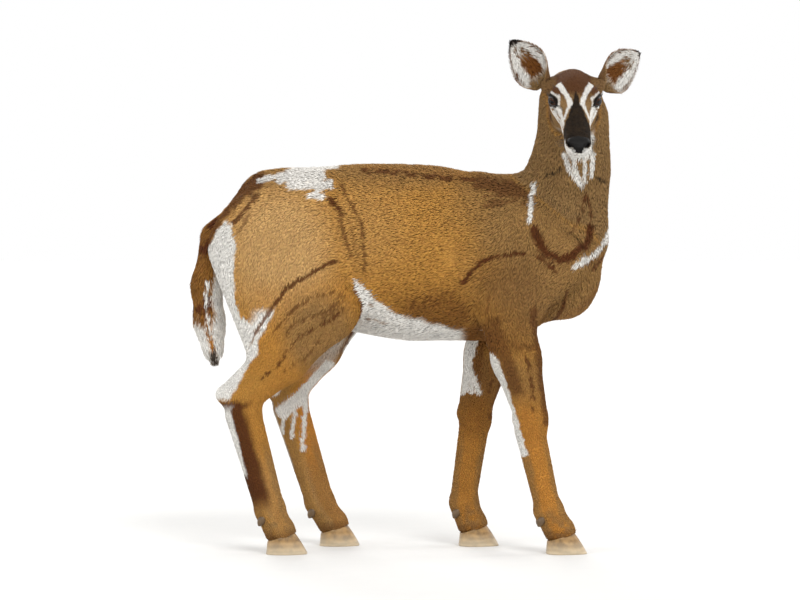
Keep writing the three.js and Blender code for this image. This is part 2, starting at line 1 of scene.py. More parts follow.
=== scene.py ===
"""Looks for a life-size white-tailed deer doe: skin, coat, eyes, ears, hooves, whiskers and a studio."""
import math
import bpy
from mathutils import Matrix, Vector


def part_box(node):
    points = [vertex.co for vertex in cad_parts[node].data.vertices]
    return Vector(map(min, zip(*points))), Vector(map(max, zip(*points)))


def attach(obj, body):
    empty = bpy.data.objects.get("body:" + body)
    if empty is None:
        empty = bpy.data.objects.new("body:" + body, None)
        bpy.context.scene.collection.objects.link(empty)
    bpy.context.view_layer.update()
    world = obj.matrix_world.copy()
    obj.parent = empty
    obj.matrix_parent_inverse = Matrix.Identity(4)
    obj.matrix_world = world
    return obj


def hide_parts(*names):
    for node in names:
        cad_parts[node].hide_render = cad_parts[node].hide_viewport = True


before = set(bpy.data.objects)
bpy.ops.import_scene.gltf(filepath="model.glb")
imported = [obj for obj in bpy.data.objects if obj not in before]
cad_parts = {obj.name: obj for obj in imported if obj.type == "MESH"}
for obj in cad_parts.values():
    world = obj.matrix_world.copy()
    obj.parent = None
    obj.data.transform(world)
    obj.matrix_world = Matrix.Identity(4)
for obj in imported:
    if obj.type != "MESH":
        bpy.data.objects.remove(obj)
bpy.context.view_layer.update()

from types import SimpleNamespace

import bpy
import numpy as np
from bpy.props import FloatProperty, FloatVectorProperty, IntProperty, PointerProperty
from mathutils import Vector

bl_info = {
    "name": "White-tailed deer doe",
    "version": (1, 0, 0),
    "blender": (4, 5, 0),
    "location": "3D View > Sidebar > Deer",
    "description": "Builds the skin, coat, eyes, ears and hooves of a standing doe around its packed model",
    "category": "Object",
}

# ---------------------------------------------------------------- the doe's measures, in millimetres
# +X runs from tail to chest, +Y to her left and +Z up. Her head is turned to her right, to face -Y.


def vec(*values):
    return np.array(values, float)


def unit(v):
    return v / np.maximum(np.linalg.norm(v, axis=-1, keepdims=True), 1e-9)


LEFT, UP = np.eye(3)[1:]
SIDES = {"right": -1, "left": 1}

HEAD_AT = vec(420, -12, 1121)  # the poll
HEAD_PITCH = math.radians(30)
HEAD_SCALE = 1.06
HEAD_AXES = np.array([  # forward, to her left and up
    [0, -math.cos(HEAD_PITCH), -math.sin(HEAD_PITCH)],
    [1, 0, 0],
    [0, -math.sin(HEAD_PITCH), math.cos(HEAD_PITCH)],
])
# Skull sections: distance from the poll, half width, height of the widest line, top, bottom.
SKULL = np.array([
    (-22, 22, 22, 40, 4), (12, 38, 20, 62, -32), (50, 45, 20, 69, -57), (88, 47, 20, 65, -58),
    (120, 41, 12, 53, -53), (155, 34, 4, 42, -47), (190, 31, -3, 33, -42), (225, 29.5, -7, 25, -38),
    (250, 29.5, -8, 18, -35), (266, 23.5, -7, 12, -29), (276, 11, -5, 4, -17),
], float)
SKULL_SQUARENESS = 2.25

EYE_RADIUS = 18
EYE_AT = vec(99, 41.5, 29)
EYE_LOOK = vec(0.68, 0.72, 0.1)
LID_HALF_LENGTH, UPPER_LID, LOWER_LID = 16.8, 10.2, 7.4
LID_THICKNESS = 2.6

EAR_LENGTH, EAR_HALF_WIDTH, EAR_THICKNESS = 138, 54, 5.5
EAR_BASE = vec(8, 56, 18)
EAR_TIP = {"right": 0.88, "left": 0.95}  # where the black tip starts along each ear
EAR_LEAN = {"right": vec(-0.62, 0.16, 0.77), "left": vec(0.74, 0.34, 0.58)}

JOINTS = {  # from the body to the ground
    "foreleg_right": [vec(258, -106, 578), vec(316, -88, 314), vec(361, -84, 106), vec(391, -83, 56)],
    "foreleg_left": [vec(242, 106, 578), vec(186, 90, 316), vec(160, 84, 108), vec(183, 84, 56)],
    "hindleg_right": [vec(-178, -110, 584), vec(-378, -92, 354), vec(-314, -88, 108), vec(-287, -87, 56)],
    "hindleg_left": [vec(-132, 108, 612), vec(-272, 92, 360), vec(-199, 88, 108), vec(-163, 88, 56)],
}
HIP = vec(-315, 82, 742)
SEAT_BONE = vec(-383, 60, 735)
TAIL_SPINE = [vec(-392, 0, 838), vec(-456, 0, 768), vec(-474, 0, 645), vec(-466, 0, 552), vec(-457, 0, 482)]

HOOF = {"heel": (-37, -34), "tip": (63, 29), "width": (33, 31), "cleft": 4}  # at the sole and at the top
HOOF_TOP, HOOF_SLOPE = 43, 0.36
DEWCLAW = {"half": vec(10, 9, 15), "back": 20, "spread": 20, "drop": 26, "tilt": math.radians(30)}

FLOOR_REACH = 60000  # from the middle of the stage to the edges of its floor
SENSOR = 0.036  # width of the camera's sensor, in metres

# Coat by region: how deep the skin lies under the tips, then a tuft's length, width and space of its own.
DEPTH, LENGTH, WIDTH, SPACE = range(4)
COAT = {
    "trunk": (5.0, 18, 2.8, 3.15), "neck": (4.5, 16, 2.8, 3.1), "head": (1.7, 6.5, 1.7, 2.0),
    "crown": (2.5, 10, 2.2, 2.4), "muzzle": (1.0, 3.6, 1.2, 1.6), "upper": (4.0, 15, 2.8, 3.1),
    "limb": (2.0, 9, 2.3, 2.65), "foot": (1.6, 7.5, 2.1, 2.5), "tail": (6.5, 28, 3.3, 3.0),
}


def side_of(leg):
    return SIDES[leg.split("_")[1]]


def head_point(forward, left, up):
    return HEAD_AT + HEAD_SCALE * (np.array([forward, left, up], float) @ HEAD_AXES)


def head_direction(forward, left, up):
    return unit(np.array([forward, left, up], float) @ HEAD_AXES)


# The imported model's frame: the same axes in metres, from the floor under the middle of the outline.
EYE_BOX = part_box("eye_left")
SHIFT = 1000 * np.array((EYE_BOX[0] + EYE_BOX[1]) / 2) - head_point(*EYE_AT)


def to_row(points):
    """Millimetres on the doe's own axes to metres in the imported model's frame."""
    return (np.asarray(points, float) + SHIFT) / 1000


# ---------------------------------------------------------------- masses of flesh
def mass(distance, low, high, blend, region, lie, cut=False):
    """A mass is a distance function, its reach, how softly it blends, and the coat that grows on it."""
    return SimpleNamespace(distance=distance, low=low, high=high, blend=blend, region=region,
                           lie=unit(np.asarray(lie, float)), cut=cut)


def bar(region, start, end, r0, r1, flat, blend, across=LEFT, lie=None, cut=False):
    """A round bar that tapers from one end to the other, `flat` times as wide across as it is tall."""
    start, end = np.asarray(start, float), np.asarray(end, float)
    stretch = 1 / flat - 1
    run = end - start
    lie = run if lie is None else lie
    run = run + (run @ across) * stretch * across

    def distance(p):
        q = p - start
        q = q + (q @ across)[..., None] * (stretch * across)
        t = np.clip(q @ run / (run @ run), 0, 1)
        return np.linalg.norm(q - t[..., None] * run, axis=-1) - (r0 + t * (r1 - r0))

    reach = max(r0, r1)
    low, high = np.minimum(start, end) - reach, np.maximum(start, end) + reach
    return mass(distance, low, high, blend, region, lie, cut)


def egg(region, centre, radii, blend, lie, axes=np.eye(3), cut=False):
    """An ellipsoid with radii along the three given axes."""
    centre, radii = np.asarray(centre, float), np.asarray(radii, float)

    def distance(p):
        q = (p - centre) @ axes.T
        size = np.linalg.norm(q / radii, axis=-1)
        return size * (size - 1) / np.maximum(np.linalg.norm(q / radii ** 2, axis=-1), 1e-9)

    reach = np.sqrt(((axes * radii[:, None]) ** 2).sum(0))
    return mass(distance, centre - reach, centre + reach, blend, region, lie, cut)


def skull_section(forward):
    """Half width, waist, top and bottom of the skull, smooth between the sections."""
    at, rows = SKULL[:, 0], SKULL[:, 1:]
    slope = np.gradient(rows, axis=0)
    slope[1:-1] = (rows[2:] - rows[:-2]) / (at[2:] - at[:-2])[:, None]
    slope[0] = (rows[1] - rows[0]) / (at[1] - at[0])
    slope[-1] = (rows[-1] - rows[-2]) / (at[-1] - at[-2])
    i = np.clip(np.searchsorted(at, forward) - 1, 0, len(at) - 2)
    span = (at[i + 1] - at[i])[..., None]
    x = (forward - at[i])[..., None] / span
    return ((2 * x ** 3 - 3 * x ** 2 + 1) * rows[i] + (x ** 3 - 2 * x ** 2 + x) * span * slope[i]
            + (3 * x ** 2 - 2 * x ** 3) * rows[i + 1] + (x ** 3 - x ** 2) * span * slope[i + 1])


def mix(a, b, share):
    return a + share * (b - a)


def in_head(p):
    """Points in the head's own axes and scale."""
    return (p - HEAD_AT) @ HEAD_AXES.T / HEAD_SCALE


def skull(blend):
    def distance(p):
        q = in_head(p)
        inside = np.clip(q[..., 0], SKULL[0, 0], SKULL[-1, 0])
        half, waist, top, bottom = np.moveaxis(skull_section(inside), -1, 0)
        y = q[..., 2] - waist
        tall = np.where(y > 0, top - waist, waist - bottom)
        power = np.abs(q[..., 1] / half) ** SKULL_SQUARENESS + np.abs(y / tall) ** SKULL_SQUARENESS
        d = np.hypot(q[..., 1], y) * (1 - 1 / np.maximum(power ** (1 / SKULL_SQUARENESS), 1e-3))
        over = np.abs(q[..., 0] - inside)
        return np.where(over > 0, np.hypot(np.maximum(d, 0), over), d) * HEAD_SCALE

    reach = 75
    ends = np.array([head_point(u, 0, 0) for u in SKULL[[0, -1], 0]])
    return mass(distance, ends.min(0) - reach, ends.max(0) + reach, blend, "head", -HEAD_AXES[0])


def head_egg(region, at, radii, blend, cut=False):
    return egg(region, head_point(*at), HEAD_SCALE * vec(*radii), blend, -HEAD_AXES[0], HEAD_AXES, cut)


def head_bar(region, start, end, r0, r1, flat, blend, lie=-HEAD_AXES[0], cut=False):
    ends = head_point(*start), head_point(*end)
    return bar(region, *ends, r0 * HEAD_SCALE, r1 * HEAD_SCALE, flat, blend, HEAD_AXES[1], lie, cut)


def both(half):
    return [m for s in SIDES.values() for m in half(s)]


def head_masses():
    def half(s):
        return [
            head_egg("head", (94, s * 41, 30), (31, 15, 25), 20),  # brow and eye socket
            head_bar("head", (70, s * 47, 2), (128, s * 35, 4), 9, 7, 0.8, 18),  # cheek bone
            head_egg("head", (66, s * 33, -26), (40, 17, 30), 16),  # chewing muscle
            head_egg("muzzle", (256, s * 16, 3), (13, 11, 11), 8),  # nostril wing
            head_bar("crown", (16, s * 34, 22), (8, s * 56, 20), 24, 19, 1, 16,
                     EAR_LEAN["left" if s > 0 else "right"]),  # root of the ear
        ]
    return [skull(30), head_bar("crown", (20, 0, 40), (70, 0, 44), 12, 12, 1, 30),
            head_bar("muzzle", (240, 0, -6), (262, 0, -8), 10, 8, 1, 8)] + both(half)


def trunk_masses():
    back = vec(-1, 0, -0.3)

    def half(s):
        return [
            bar("trunk", (-205, s * 64, 838), (-342, s * 72, 782), 82, 92, 0.7, 40, lie=back),  # croup
            bar("trunk", (-180, s * 88, 864), (-212, s * 84, 842), 25, 30, 1, 30, lie=back),  # hip bone
            bar("trunk", (270, s * 58, 842), (388, s * 92, 716), 40, 62, 0.6, 36, lie=(-0.8, 0, -0.8)),
        ]
    return [
        egg("trunk", (225, 0, 712), (205, 118, 198), 1, back),  # chest
        egg("trunk", (45, 0, 727), (265, 140, 216), 60, back),  # ribs
        egg("trunk", (-125, 0, 744), (230, 128, 197), 60, back),  # loin and belly
        egg("trunk", (-290, 0, 775), (142, 104, 150), 60, (-0.8, 0, -0.7)),  # pelvis
        egg("trunk", (410, 0, 697), (85, 84, 131), 50, (0, 0, -1)),  # brisket
        bar("trunk", (-330, 0, 880), (235, 0, 864), 34, 34, 1, 60, lie=(-1, 0, 0)),  # back
    ] + both(half)


def neck_masses():
    return [
        bar("neck", (352, 0, 800), (410, 0, 935), 118, 84, 0.64, 60, lie=(-0.5, 0, -1)),  # root
        bar("neck", (413, 0, 935), (417, 2, 1095), 84, 78, 0.84, 40, lie=(-0.1, 0, -1)),  # upper neck
        bar("neck", (334, 0, 868), (394, 3, 955), 26, 46, 0.7, 40, lie=(-0.9, 0, -0.8)),  # crest
        bar("neck", (474, 6, 760), (475, -20, 1058), 36, 31, 1, 40, lie=(0, 0.1, -1)),  # throat
    ]


def foot_masses(fetlock, coronet):
    return [
        egg("foot", fetlock, (36, 30, 34), 12, coronet - fetlock),
        bar("foot", fetlock, coronet, 30, 33, 1, 10),  # pastern
        bar("foot", fetlock + (-19, 0, -6), coronet + (-21, 0, -9), 18, 19, 1.2, 8),  # heel
        bar("foot", coronet, coronet + (14, 0, -24), 32, 27, 1.1, 8),
    ]


def foreleg_masses(s, elbow, knee, fetlock, coronet):
    forearm = mix(elbow, knee, 0.4)
    down = knee - elbow
    return [
        bar("upper", (300, s * 84, 765), elbow + (0, s * -4, 34), 80, 56, 0.6, 40, lie=down + (-120, 0, 0)),
        bar("upper", (378, s * 88, 700), elbow + (28, s * -3, 16), 58, 50, 0.64, 36),  # upper arm
        bar("upper", elbow, forearm, 65, 58, 0.7, 30),
        bar("limb", forearm, knee + (0, 0, 26), 58, 41, 0.76, 20),
        bar("upper", elbow + (-38, 0, 26), elbow + (-24, 0, -56), 24, 20, 0.8, 20),  # point of the elbow
        egg("limb", knee + (3, 0, 0), (40, 34, 42), 16, down),
        egg("limb", knee + (-31, 0, 12), (14, 15, 18), 10, down),
        bar("limb", knee + (2, 0, -18), fetlock, 34, 29, 0.86, 12),  # cannon bone
        bar("limb", knee + (-22, 0, -18), fetlock + (-19, 0, 10), 17, 16, 1, 8),  # tendon
    ] + foot_masses(fetlock, coronet)


def hindleg_masses(s, stifle, hock, fetlock, coronet):
    hip, seat = HIP * (1, s, 1), SEAT_BONE * (1, s, 1)
    heel = hock + (-46, 0, 32)
    calf = (stifle + hock) / 2
    shin = hock - stifle
    return [
        bar("upper", hip, stifle, 118, 68, 0.58, 45, lie=(-0.3, 0, -1)),  # thigh
        bar("upper", seat, calf + (-48, 0, 30), 82, 46, 0.6, 40, lie=(0, 0, -1)),  # buttock
        bar("upper", hip + (-15, s * 2, -70), calf + (-12, 0, 15), 84, 44, 0.62, 40, lie=(-0.3, 0, -1)),
        bar("upper", hip + (90, s * -4, 20), stifle + (8, 0, 22), 70, 54, 0.6, 45, lie=(-0.5, 0, -1)),
        bar("upper", stifle, calf, 67, 53, 0.64, 30, lie=shin + (0, 0, -100)),
        bar("limb", calf, hock + (2, 0, 26), 53, 38, 0.74, 20, lie=shin + (0, 0, -100)),
        bar("limb", calf + (-44, 0, 12), heel, 26, 20, 0.85, 14),  # hamstring
        bar("limb", calf + (-14, 0, 0), mix(hock, heel, 0.55), 30, 20, 0.5, 14),  # skin before the hamstring
        egg("limb", hock, (43, 33, 44), 16, fetlock - hock),
        bar("limb", hock + (-8, 0, 4), heel, 28, 20, 0.88, 12, lie=fetlock - hock),  # point of the hock
        bar("limb", hock + (3, 0, -18), fetlock, 41, 35, 0.8, 12),  # cannon bone
        bar("limb", hock + (-26, 0, -20), fetlock + (-21, 0, 10), 19, 17, 1, 8),  # tendon
    ] + foot_masses(fetlock, coronet)


def tail_masses():
    sizes = [(26, 29, 1.45), (29, 36, 1.35), (36, 36, 1.3), (36, 25, 1.2)]
    return [bar("tail", a, b, r0, r1, flat, 24) for a, b, (r0, r1, flat) in
            zip(TAIL_SPINE, TAIL_SPINE[1:], sizes)]


def eye_axes(s):
    """For one eye: the way to its front corner, up across the lids, and out along its look."""
    look = head_direction(*(EYE_LOOK * (1, s, 1)))
    corner = -s * unit(np.cross(HEAD_AXES[2], look))
    return np.array([corner, -s * np.cross(look, corner), look])


def eye_centre(s):
    return head_point(*(EYE_AT * (1, s, 1)))


def lid_edge(along):
    """Heights of the upper and the lower lid over the middle of the eye, along the opening."""
    arch = np.maximum(1 - (along / LID_HALF_LENGTH) ** 2, 0)
    droop = -0.12 * along
    return UPPER_LID * arch + droop, -LOWER_LID * arch + droop


def lid_gap(s):
    """Distance into the opening between the lids, below zero inside it."""
    axes, centre = eye_axes(s), eye_centre(s)

    def distance(p):
        q = (p - centre) @ axes.T
        upper, lower = lid_edge(q[..., 0])
        gap = np.maximum(q[..., 1] - upper, lower - q[..., 1])
        return np.maximum(gap * 0.85, 6 - q[..., 2])
    return distance


def chain(region, points, radii, blend, cut=True):
    """A groove along the head through the given points."""
    return [head_bar(region, a, b, r0, r1, 1, blend, cut=cut)
            for a, b, r0, r1 in zip(points, points[1:], radii, radii[1:])]


def face_masses():
    """Lids, tear ducts, nostrils and mouth, added and cut after the head is whole."""
    def half(s):
        centre = eye_centre(s)
        reach = EYE_RADIUS + 12
        lids = egg("head", centre, [EYE_RADIUS + LID_THICKNESS] * 3, 9, -HEAD_AXES[0])
        gap = mass(lid_gap(s), centre - reach, centre + reach, 1.2, "head", -HEAD_AXES[0], True)
        duct = chain("head", [(112, s * 49, 23), (122, s * 43, 17), (131, s * 38, 12)], (2.2, 3, 1.5), 3)
        nostril = chain("muzzle", [(271, s * 8, -9), (269, s * 13.5, -4), (264, s * 19, 2),
                                   (255, s * 23.5, 4)], (3.2, 4.2, 3.6, 1.6), 2)
        mouth = chain("muzzle", [(276, 0, -20), (268, s * 15, -20), (250, s * 27.5, -18), (215, s * 30, -16),
                                 (180, s * 32, -12)], (2.2, 2.2, 2.0, 1.8, 0.8), 2)
        return [lids, gap] + duct + nostril + mouth
    return both(half) + chain("muzzle", [(279, 0, -2), (276, 0, -18)], (1.6, 1.4), 2)


def hoof_planes():
    """Flesh stops a little below the top edge of the hooves."""
    sunk = 5

    def plane(coronet):
        def distance(p):
            above = p[..., 2] - (HOOF_TOP - sunk) - HOOF_SLOPE * (p[..., 0] - coronet[0])
            return above / math.hypot(1, HOOF_SLOPE)
        return mass(distance, coronet - (80, 60, 90), coronet + (80, 60, 0), 1, "foot", (0, 0, -1), True)
    return [plane(joints[-1]) for joints in JOINTS.values()]


BODY = trunk_masses() + neck_masses() + head_masses()
for leg, joints in JOINTS.items():
    make_leg = foreleg_masses if leg.startswith("fore") else hindleg_masses
    BODY += make_leg(side_of(leg), *joints)
TAIL = tail_masses()
DETAILS = face_masses() + hoof_planes()
TAIL_BLEND = 10
FAR = 400.0  # the field's value beyond every mass


def soft_min(a, b, blend):
    h = np.maximum(blend - np.abs(a - b), 0) / blend
    return np.minimum(a, b) - h * h * blend / 4


def mass_weight(d):
    """How much a mass at this distance decides the coat."""
    return np.exp(-np.clip(d, -15, 90) / 12)


class Flesh:
    """The outer line of the coat, and what grows on it, at any points."""

    def __init__(self, points=None, axes=None):
        self.axes = axes
        self.points = points
        shape = tuple(len(a) for a in axes) if axes else points.shape[:1]
        self.value = np.full(shape, FAR, np.float32)
        self.weight = np.full(shape, 1e-9, np.float32)
        self.depth = np.zeros(shape, np.float32)
        tail = np.full(shape, FAR, np.float32)
        for m in BODY:
            self.join(self.value, m)
        for m in TAIL:
            self.join(tail, m)
        self.value = soft_min(self.value, tail, TAIL_BLEND)
        for m in DETAILS:
            self.join(self.value, m)
        self.depth /= self.weight

    def window(self, m):
        reach = m.blend + 12
        low, high = m.low - reach, m.high + reach
        if self.axes:
            w = tuple(slice(*np.searchsorted(a, (lo, hi))) for a, lo, hi in zip(self.axes, low, high))
            p = np.stack(np.meshgrid(*[a[s] for a, s in zip(self.axes, w)], indexing="ij"), -1)
            return w, p
        w = np.flatnonzero(((self.points > low) & (self.points < high)).all(1))
        return w, self.points[w]

    def join(self, value, m):
        w, p = self.window(m)
        if not p.size:
            return
        d = m.distance(p)
        if m.cut:
            value[w] = -soft_min(-value[w], d, m.blend)
            return
        value[w] = soft_min(value[w], d, m.blend)
        share = mass_weight(d)
        self.weight[w] += share
        self.depth[w] += share * COAT[m.region][DEPTH]

    @property
    def skin(self):
        """The skin lies under the tips by the coat's depth."""
        return self.value + self.depth


def skin_value(points):
    return Flesh(points=points).skin


def outward(points, value=None):
    """The field's slope at each point: the way out of the flesh."""
    step = 0.4
    here = skin_value(points) if value is None else value
    return np.stack([(skin_value(points + step * axis) - here) / step for axis in np.eye(3)], -1)


def coat_at(points):
    """Lie of the hair and region weights at each point."""
    n = len(points)
    total = np.full(n, 1e-9)
    lie = np.zeros((n, 3))
    regions = {name: np.zeros(n) for name in COAT}
    reach = 70
    for m in BODY + TAIL:
        near = np.flatnonzero(((points > m.low - reach) & (points < m.high + reach)).all(1))
        if not len(near):
            continue
        share = mass_weight(m.distance(points[near]))
        total[near] += share
        lie[near] += share[:, None] * m.lie
        regions[m.region][near] += share
    for name in regions:
        regions[name] /= total
    return unit(lie), regions


def by_region(regions, place):
    """A measure of the coat, blended between the regions that meet at each point."""
    return sum(share * COAT[name][place] for name, share in regions.items())


# ---------------------------------------------------------------- the skin's mesh
def lines(*stretches):
    """Grid lines in stretches of (start, step), up to the last start."""
    ends = [start for start, _ in stretches[1:]]
    parts = [np.arange(start, end - step / 2, step) for (start, step), end in zip(stretches, ends)]
    return np.concatenate(parts + [[stretches[-1][0]]])


def skin_axes():
    """Grid lines, close together at the head and the feet."""
    return (
        lines((-520, 8), (352, 2.6), (488, 8), (560, 0)),
        lines((-312, 2.7), (-88, 3.6), (24, 7), (180, 0)),
        lines((-12, 4.2), (140, 6), (480, 8.2), (936, 2.8), (1246, 0)),
    )


def surface_net(field, axes):
    """Corner points and four-sided faces of the surface where a field on a grid is zero."""
    inside = field < 0
    size = np.array(field.shape)
    total = np.zeros((*(size - 1), 3), np.float32)
    count = np.zeros(size - 1, np.float32)
    for axis in range(3):
        first, second = [slice(None)] * 3, [slice(None)] * 3
        first[axis], second[axis] = slice(0, -1), slice(1, None)
        a, b = field[tuple(first)], field[tuple(second)]
        crossed = inside[tuple(first)] != inside[tuple(second)]
        at = np.where(crossed, a / np.where(crossed, a - b, 1), 0)
        others = [i for i in range(3) if i != axis]
        for i in (0, 1):
            for k in (0, 1):
                part = [slice(None)] * 3
                part[others[0]] = slice(i, size[others[0]] - 1 + i)
                part[others[1]] = slice(k, size[others[1]] - 1 + k)
                hit = crossed[tuple(part)]
                total[..., axis] += at[tuple(part)] * hit
                total[..., others[0]] += hit * float(i)
                total[..., others[1]] += hit * float(k)
                count += hit
    cells = np.argwhere(count > 0)
    key = tuple(cells.T)
    number = np.full(count.shape, -1, np.int64)
    number[key] = np.arange(len(cells))
    place = cells + total[key] / count[key][:, None]
    points = np.stack([np.interp(place[:, i], np.arange(size[i]), axes[i]) for i in range(3)], -1)
    faces = []
    for axis in range(3):
        others = [(axis + 1) % 3, (axis + 2) % 3]
        first, second = [slice(1, -1)] * 3, [slice(1, -1)] * 3
        first[axis], second[axis] = slice(0, -1), slice(1, None)
        a, b = inside[tuple(first)], inside[tuple(second)]
        for turned, crossed in ((False, a & ~b), (True, ~a & b)):
            edge = np.argwhere(crossed)
            edge[:, others] += 1
            corners = []
            for i, k in ((-1, -1), (0, -1), (0, 0), (-1, 0)):
                cell = edge.copy()
                cell[:, others[0]] += i
                cell[:, others[1]] += k
                corners.append(number[tuple(cell.T)])
            corners = np.stack(corners, 1)
            faces.append(corners[:, ::-1] if turned else corners)
    return points, np.concatenate(faces)


def settle(points, rounds=3, most=2.5):
    """Moves points onto the skin."""
    for _ in range(rounds):
        value = skin_value(points)
        slope = outward(points, value)
        steep = np.maximum((slope ** 2).sum(-1), 0.05)
        step = -slope * (value / steep)[:, None]
        size = np.linalg.norm(step, axis=-1, keepdims=True)
        points = points + step * np.minimum(1, most / np.maximum(size, 1e-9))
    return points


def ear_frame(name):
    """The ear's root, and the ways along it, across it and out of its opening."""
    s = SIDES[name]
    axis = unit(EAR_LEAN[name])
    look = head_direction(0.9, 0.3 * s, 0.2)
    opening = unit(look - axis * (look @ axis))
    root = head_point(*(EAR_BASE * (1, s, 1))) + 8 * EAR_LEAN[name] + 0.3 * axis
    return root, axis, np.cross(opening, axis), opening


def ear_point(name, along, across, layer):
    """A leaf rolled round its own length; along runs 0 to 1, across -1 to 1, layer 0 inside to 1 outside."""
    root, axis, side, opening = ear_frame(name)
    places = np.broadcast_arrays(along, across, layer)
    along, across, layer = (np.asarray(v, float)[..., None] for v in places)
    arc = EAR_HALF_WIDTH * (1 - 0.985 * along) ** 0.85 * (0.8 + 1.85 * along * (1 - 0.25 * along))
    roll = 0.55 + 1.75 * (1 - along) ** 4
    radius = arc / roll
    wall = EAR_THICKNESS * (1 - 0.45 * along) * (1 - 0.35 * across ** 2) * layer
    bow = 9 * np.sin(np.pi * along)
    deep = radius - (radius + wall) * np.cos(roll * across) - bow
    return root + axis * along * EAR_LENGTH + opening * deep + side * (radius + wall) * np.sin(roll * across)


def sheet_faces(rows, columns, start=0):
    """Faces of a grid of points stored row by row."""
    i, k = np.meshgrid(np.arange(rows - 1), np.arange(columns - 1), indexing="ij")
    a = start + i.ravel() * columns + k.ravel()
    return np.stack([a, a + 1, a + columns + 1, a + columns], 1)


def ear_grid(rows, columns, end=0.0):
    """Places on an ear's leaf, along it and across it, kept this far from its root and its tip."""
    return np.meshgrid(np.linspace(end, 1 - end, rows), np.linspace(-1, 1, columns), indexing="ij")


def ear_mesh(name, rows, columns):
    """A closed ear: an inner and an outer sheet, joined round the rim."""
    along, across = ear_grid(rows, columns)
    sheets = [ear_point(name, along, across, layer).reshape(-1, 3) for layer in (0.2, 0.8)]
    inner, outer = sheet_faces(rows, columns), sheet_faces(rows, columns, rows * columns)
    number = np.arange(rows * columns).reshape(rows, columns)
    rim = np.concatenate([number[0, :-1], number[:-1, -1], number[-1, :0:-1], number[:0:-1, 0]])
    after = np.roll(rim, -1)
    joint = np.stack([rim, after, after + rows * columns, rim + rows * columns], 1)
    points = np.concatenate(sheets)
    faces = np.concatenate([inner, outer[:, ::-1], joint[:, ::-1]])
    if volume(points, faces) < 0:
        faces = faces[:, ::-1]
    return points, faces


def volume(points, faces):
    a = points[faces[:, 0]]
    total = 0
    for i in range(1, faces.shape[1] - 1):
        total += (a * np.cross(points[faces[:, i]], points[faces[:, i + 1]])).sum()
    return total / 6


# ---------------------------------------------------------------- markings
def noise(points, size, seed=0):
    """Smooth noise from -1 to 1 with bumps of about this size."""
    q = points / size + 71.3 * (seed + 1)
    cell = np.floor(q).astype(np.int64)
    t = q - cell
    t = t * t * (3 - 2 * t)
    total = 0
    for corner in np.ndindex(2, 2, 2):
        c = cell + corner
        h = (c[:, 0] * 73856093) ^ (c[:, 1] * 19349663) ^ (c[:, 2] * 83492791) ^ (seed * 2654435)
        h = (h * 1103515245 + 12345) & 0x7FFFFFFF
        h = (h >> 8) * 134775813 + 1 & 0x7FFFFFFF
        share = np.prod(np.where(corner, t, 1 - t), axis=1)
        total = total + share * (h / 0x3FFFFFFF - 1)
    return total


def rise(value, low, high):
    t = np.clip((value - low) / (high - low), 0, 1)
    return t * t * (3 - 2 * t)


def fall(value, low, high):
    return 1 - rise(value, low, high)


def from_line(points, line):
    """Distance from a chain of straight stretches, in as many axes as the chain has."""
    line = np.asarray(line, float)
    best = np.full(len(points), 1e9)
    for a, b in zip(line[:-1], line[1:]):
        run = b - a
        t = np.clip((points - a) @ run / (run @ run), 0, 1)
        best = np.minimum(best, np.linalg.norm(points - a - t[:, None] * run, axis=1))
    return best


def stroke(points, line, half_width, soft=6, ragged=0.0, seed=3):
    """A painted stroke along a line: 1 on it, 0 off it, with an edge broken up by noise."""
    d = from_line(points, line)
    if ragged:
        d = d + ragged * noise(points if points.shape[1] == 3 else np.c_[points, points[:, :1] * 0], 9, seed)
    return fall(d, half_width - soft / 2, half_width + soft / 2)


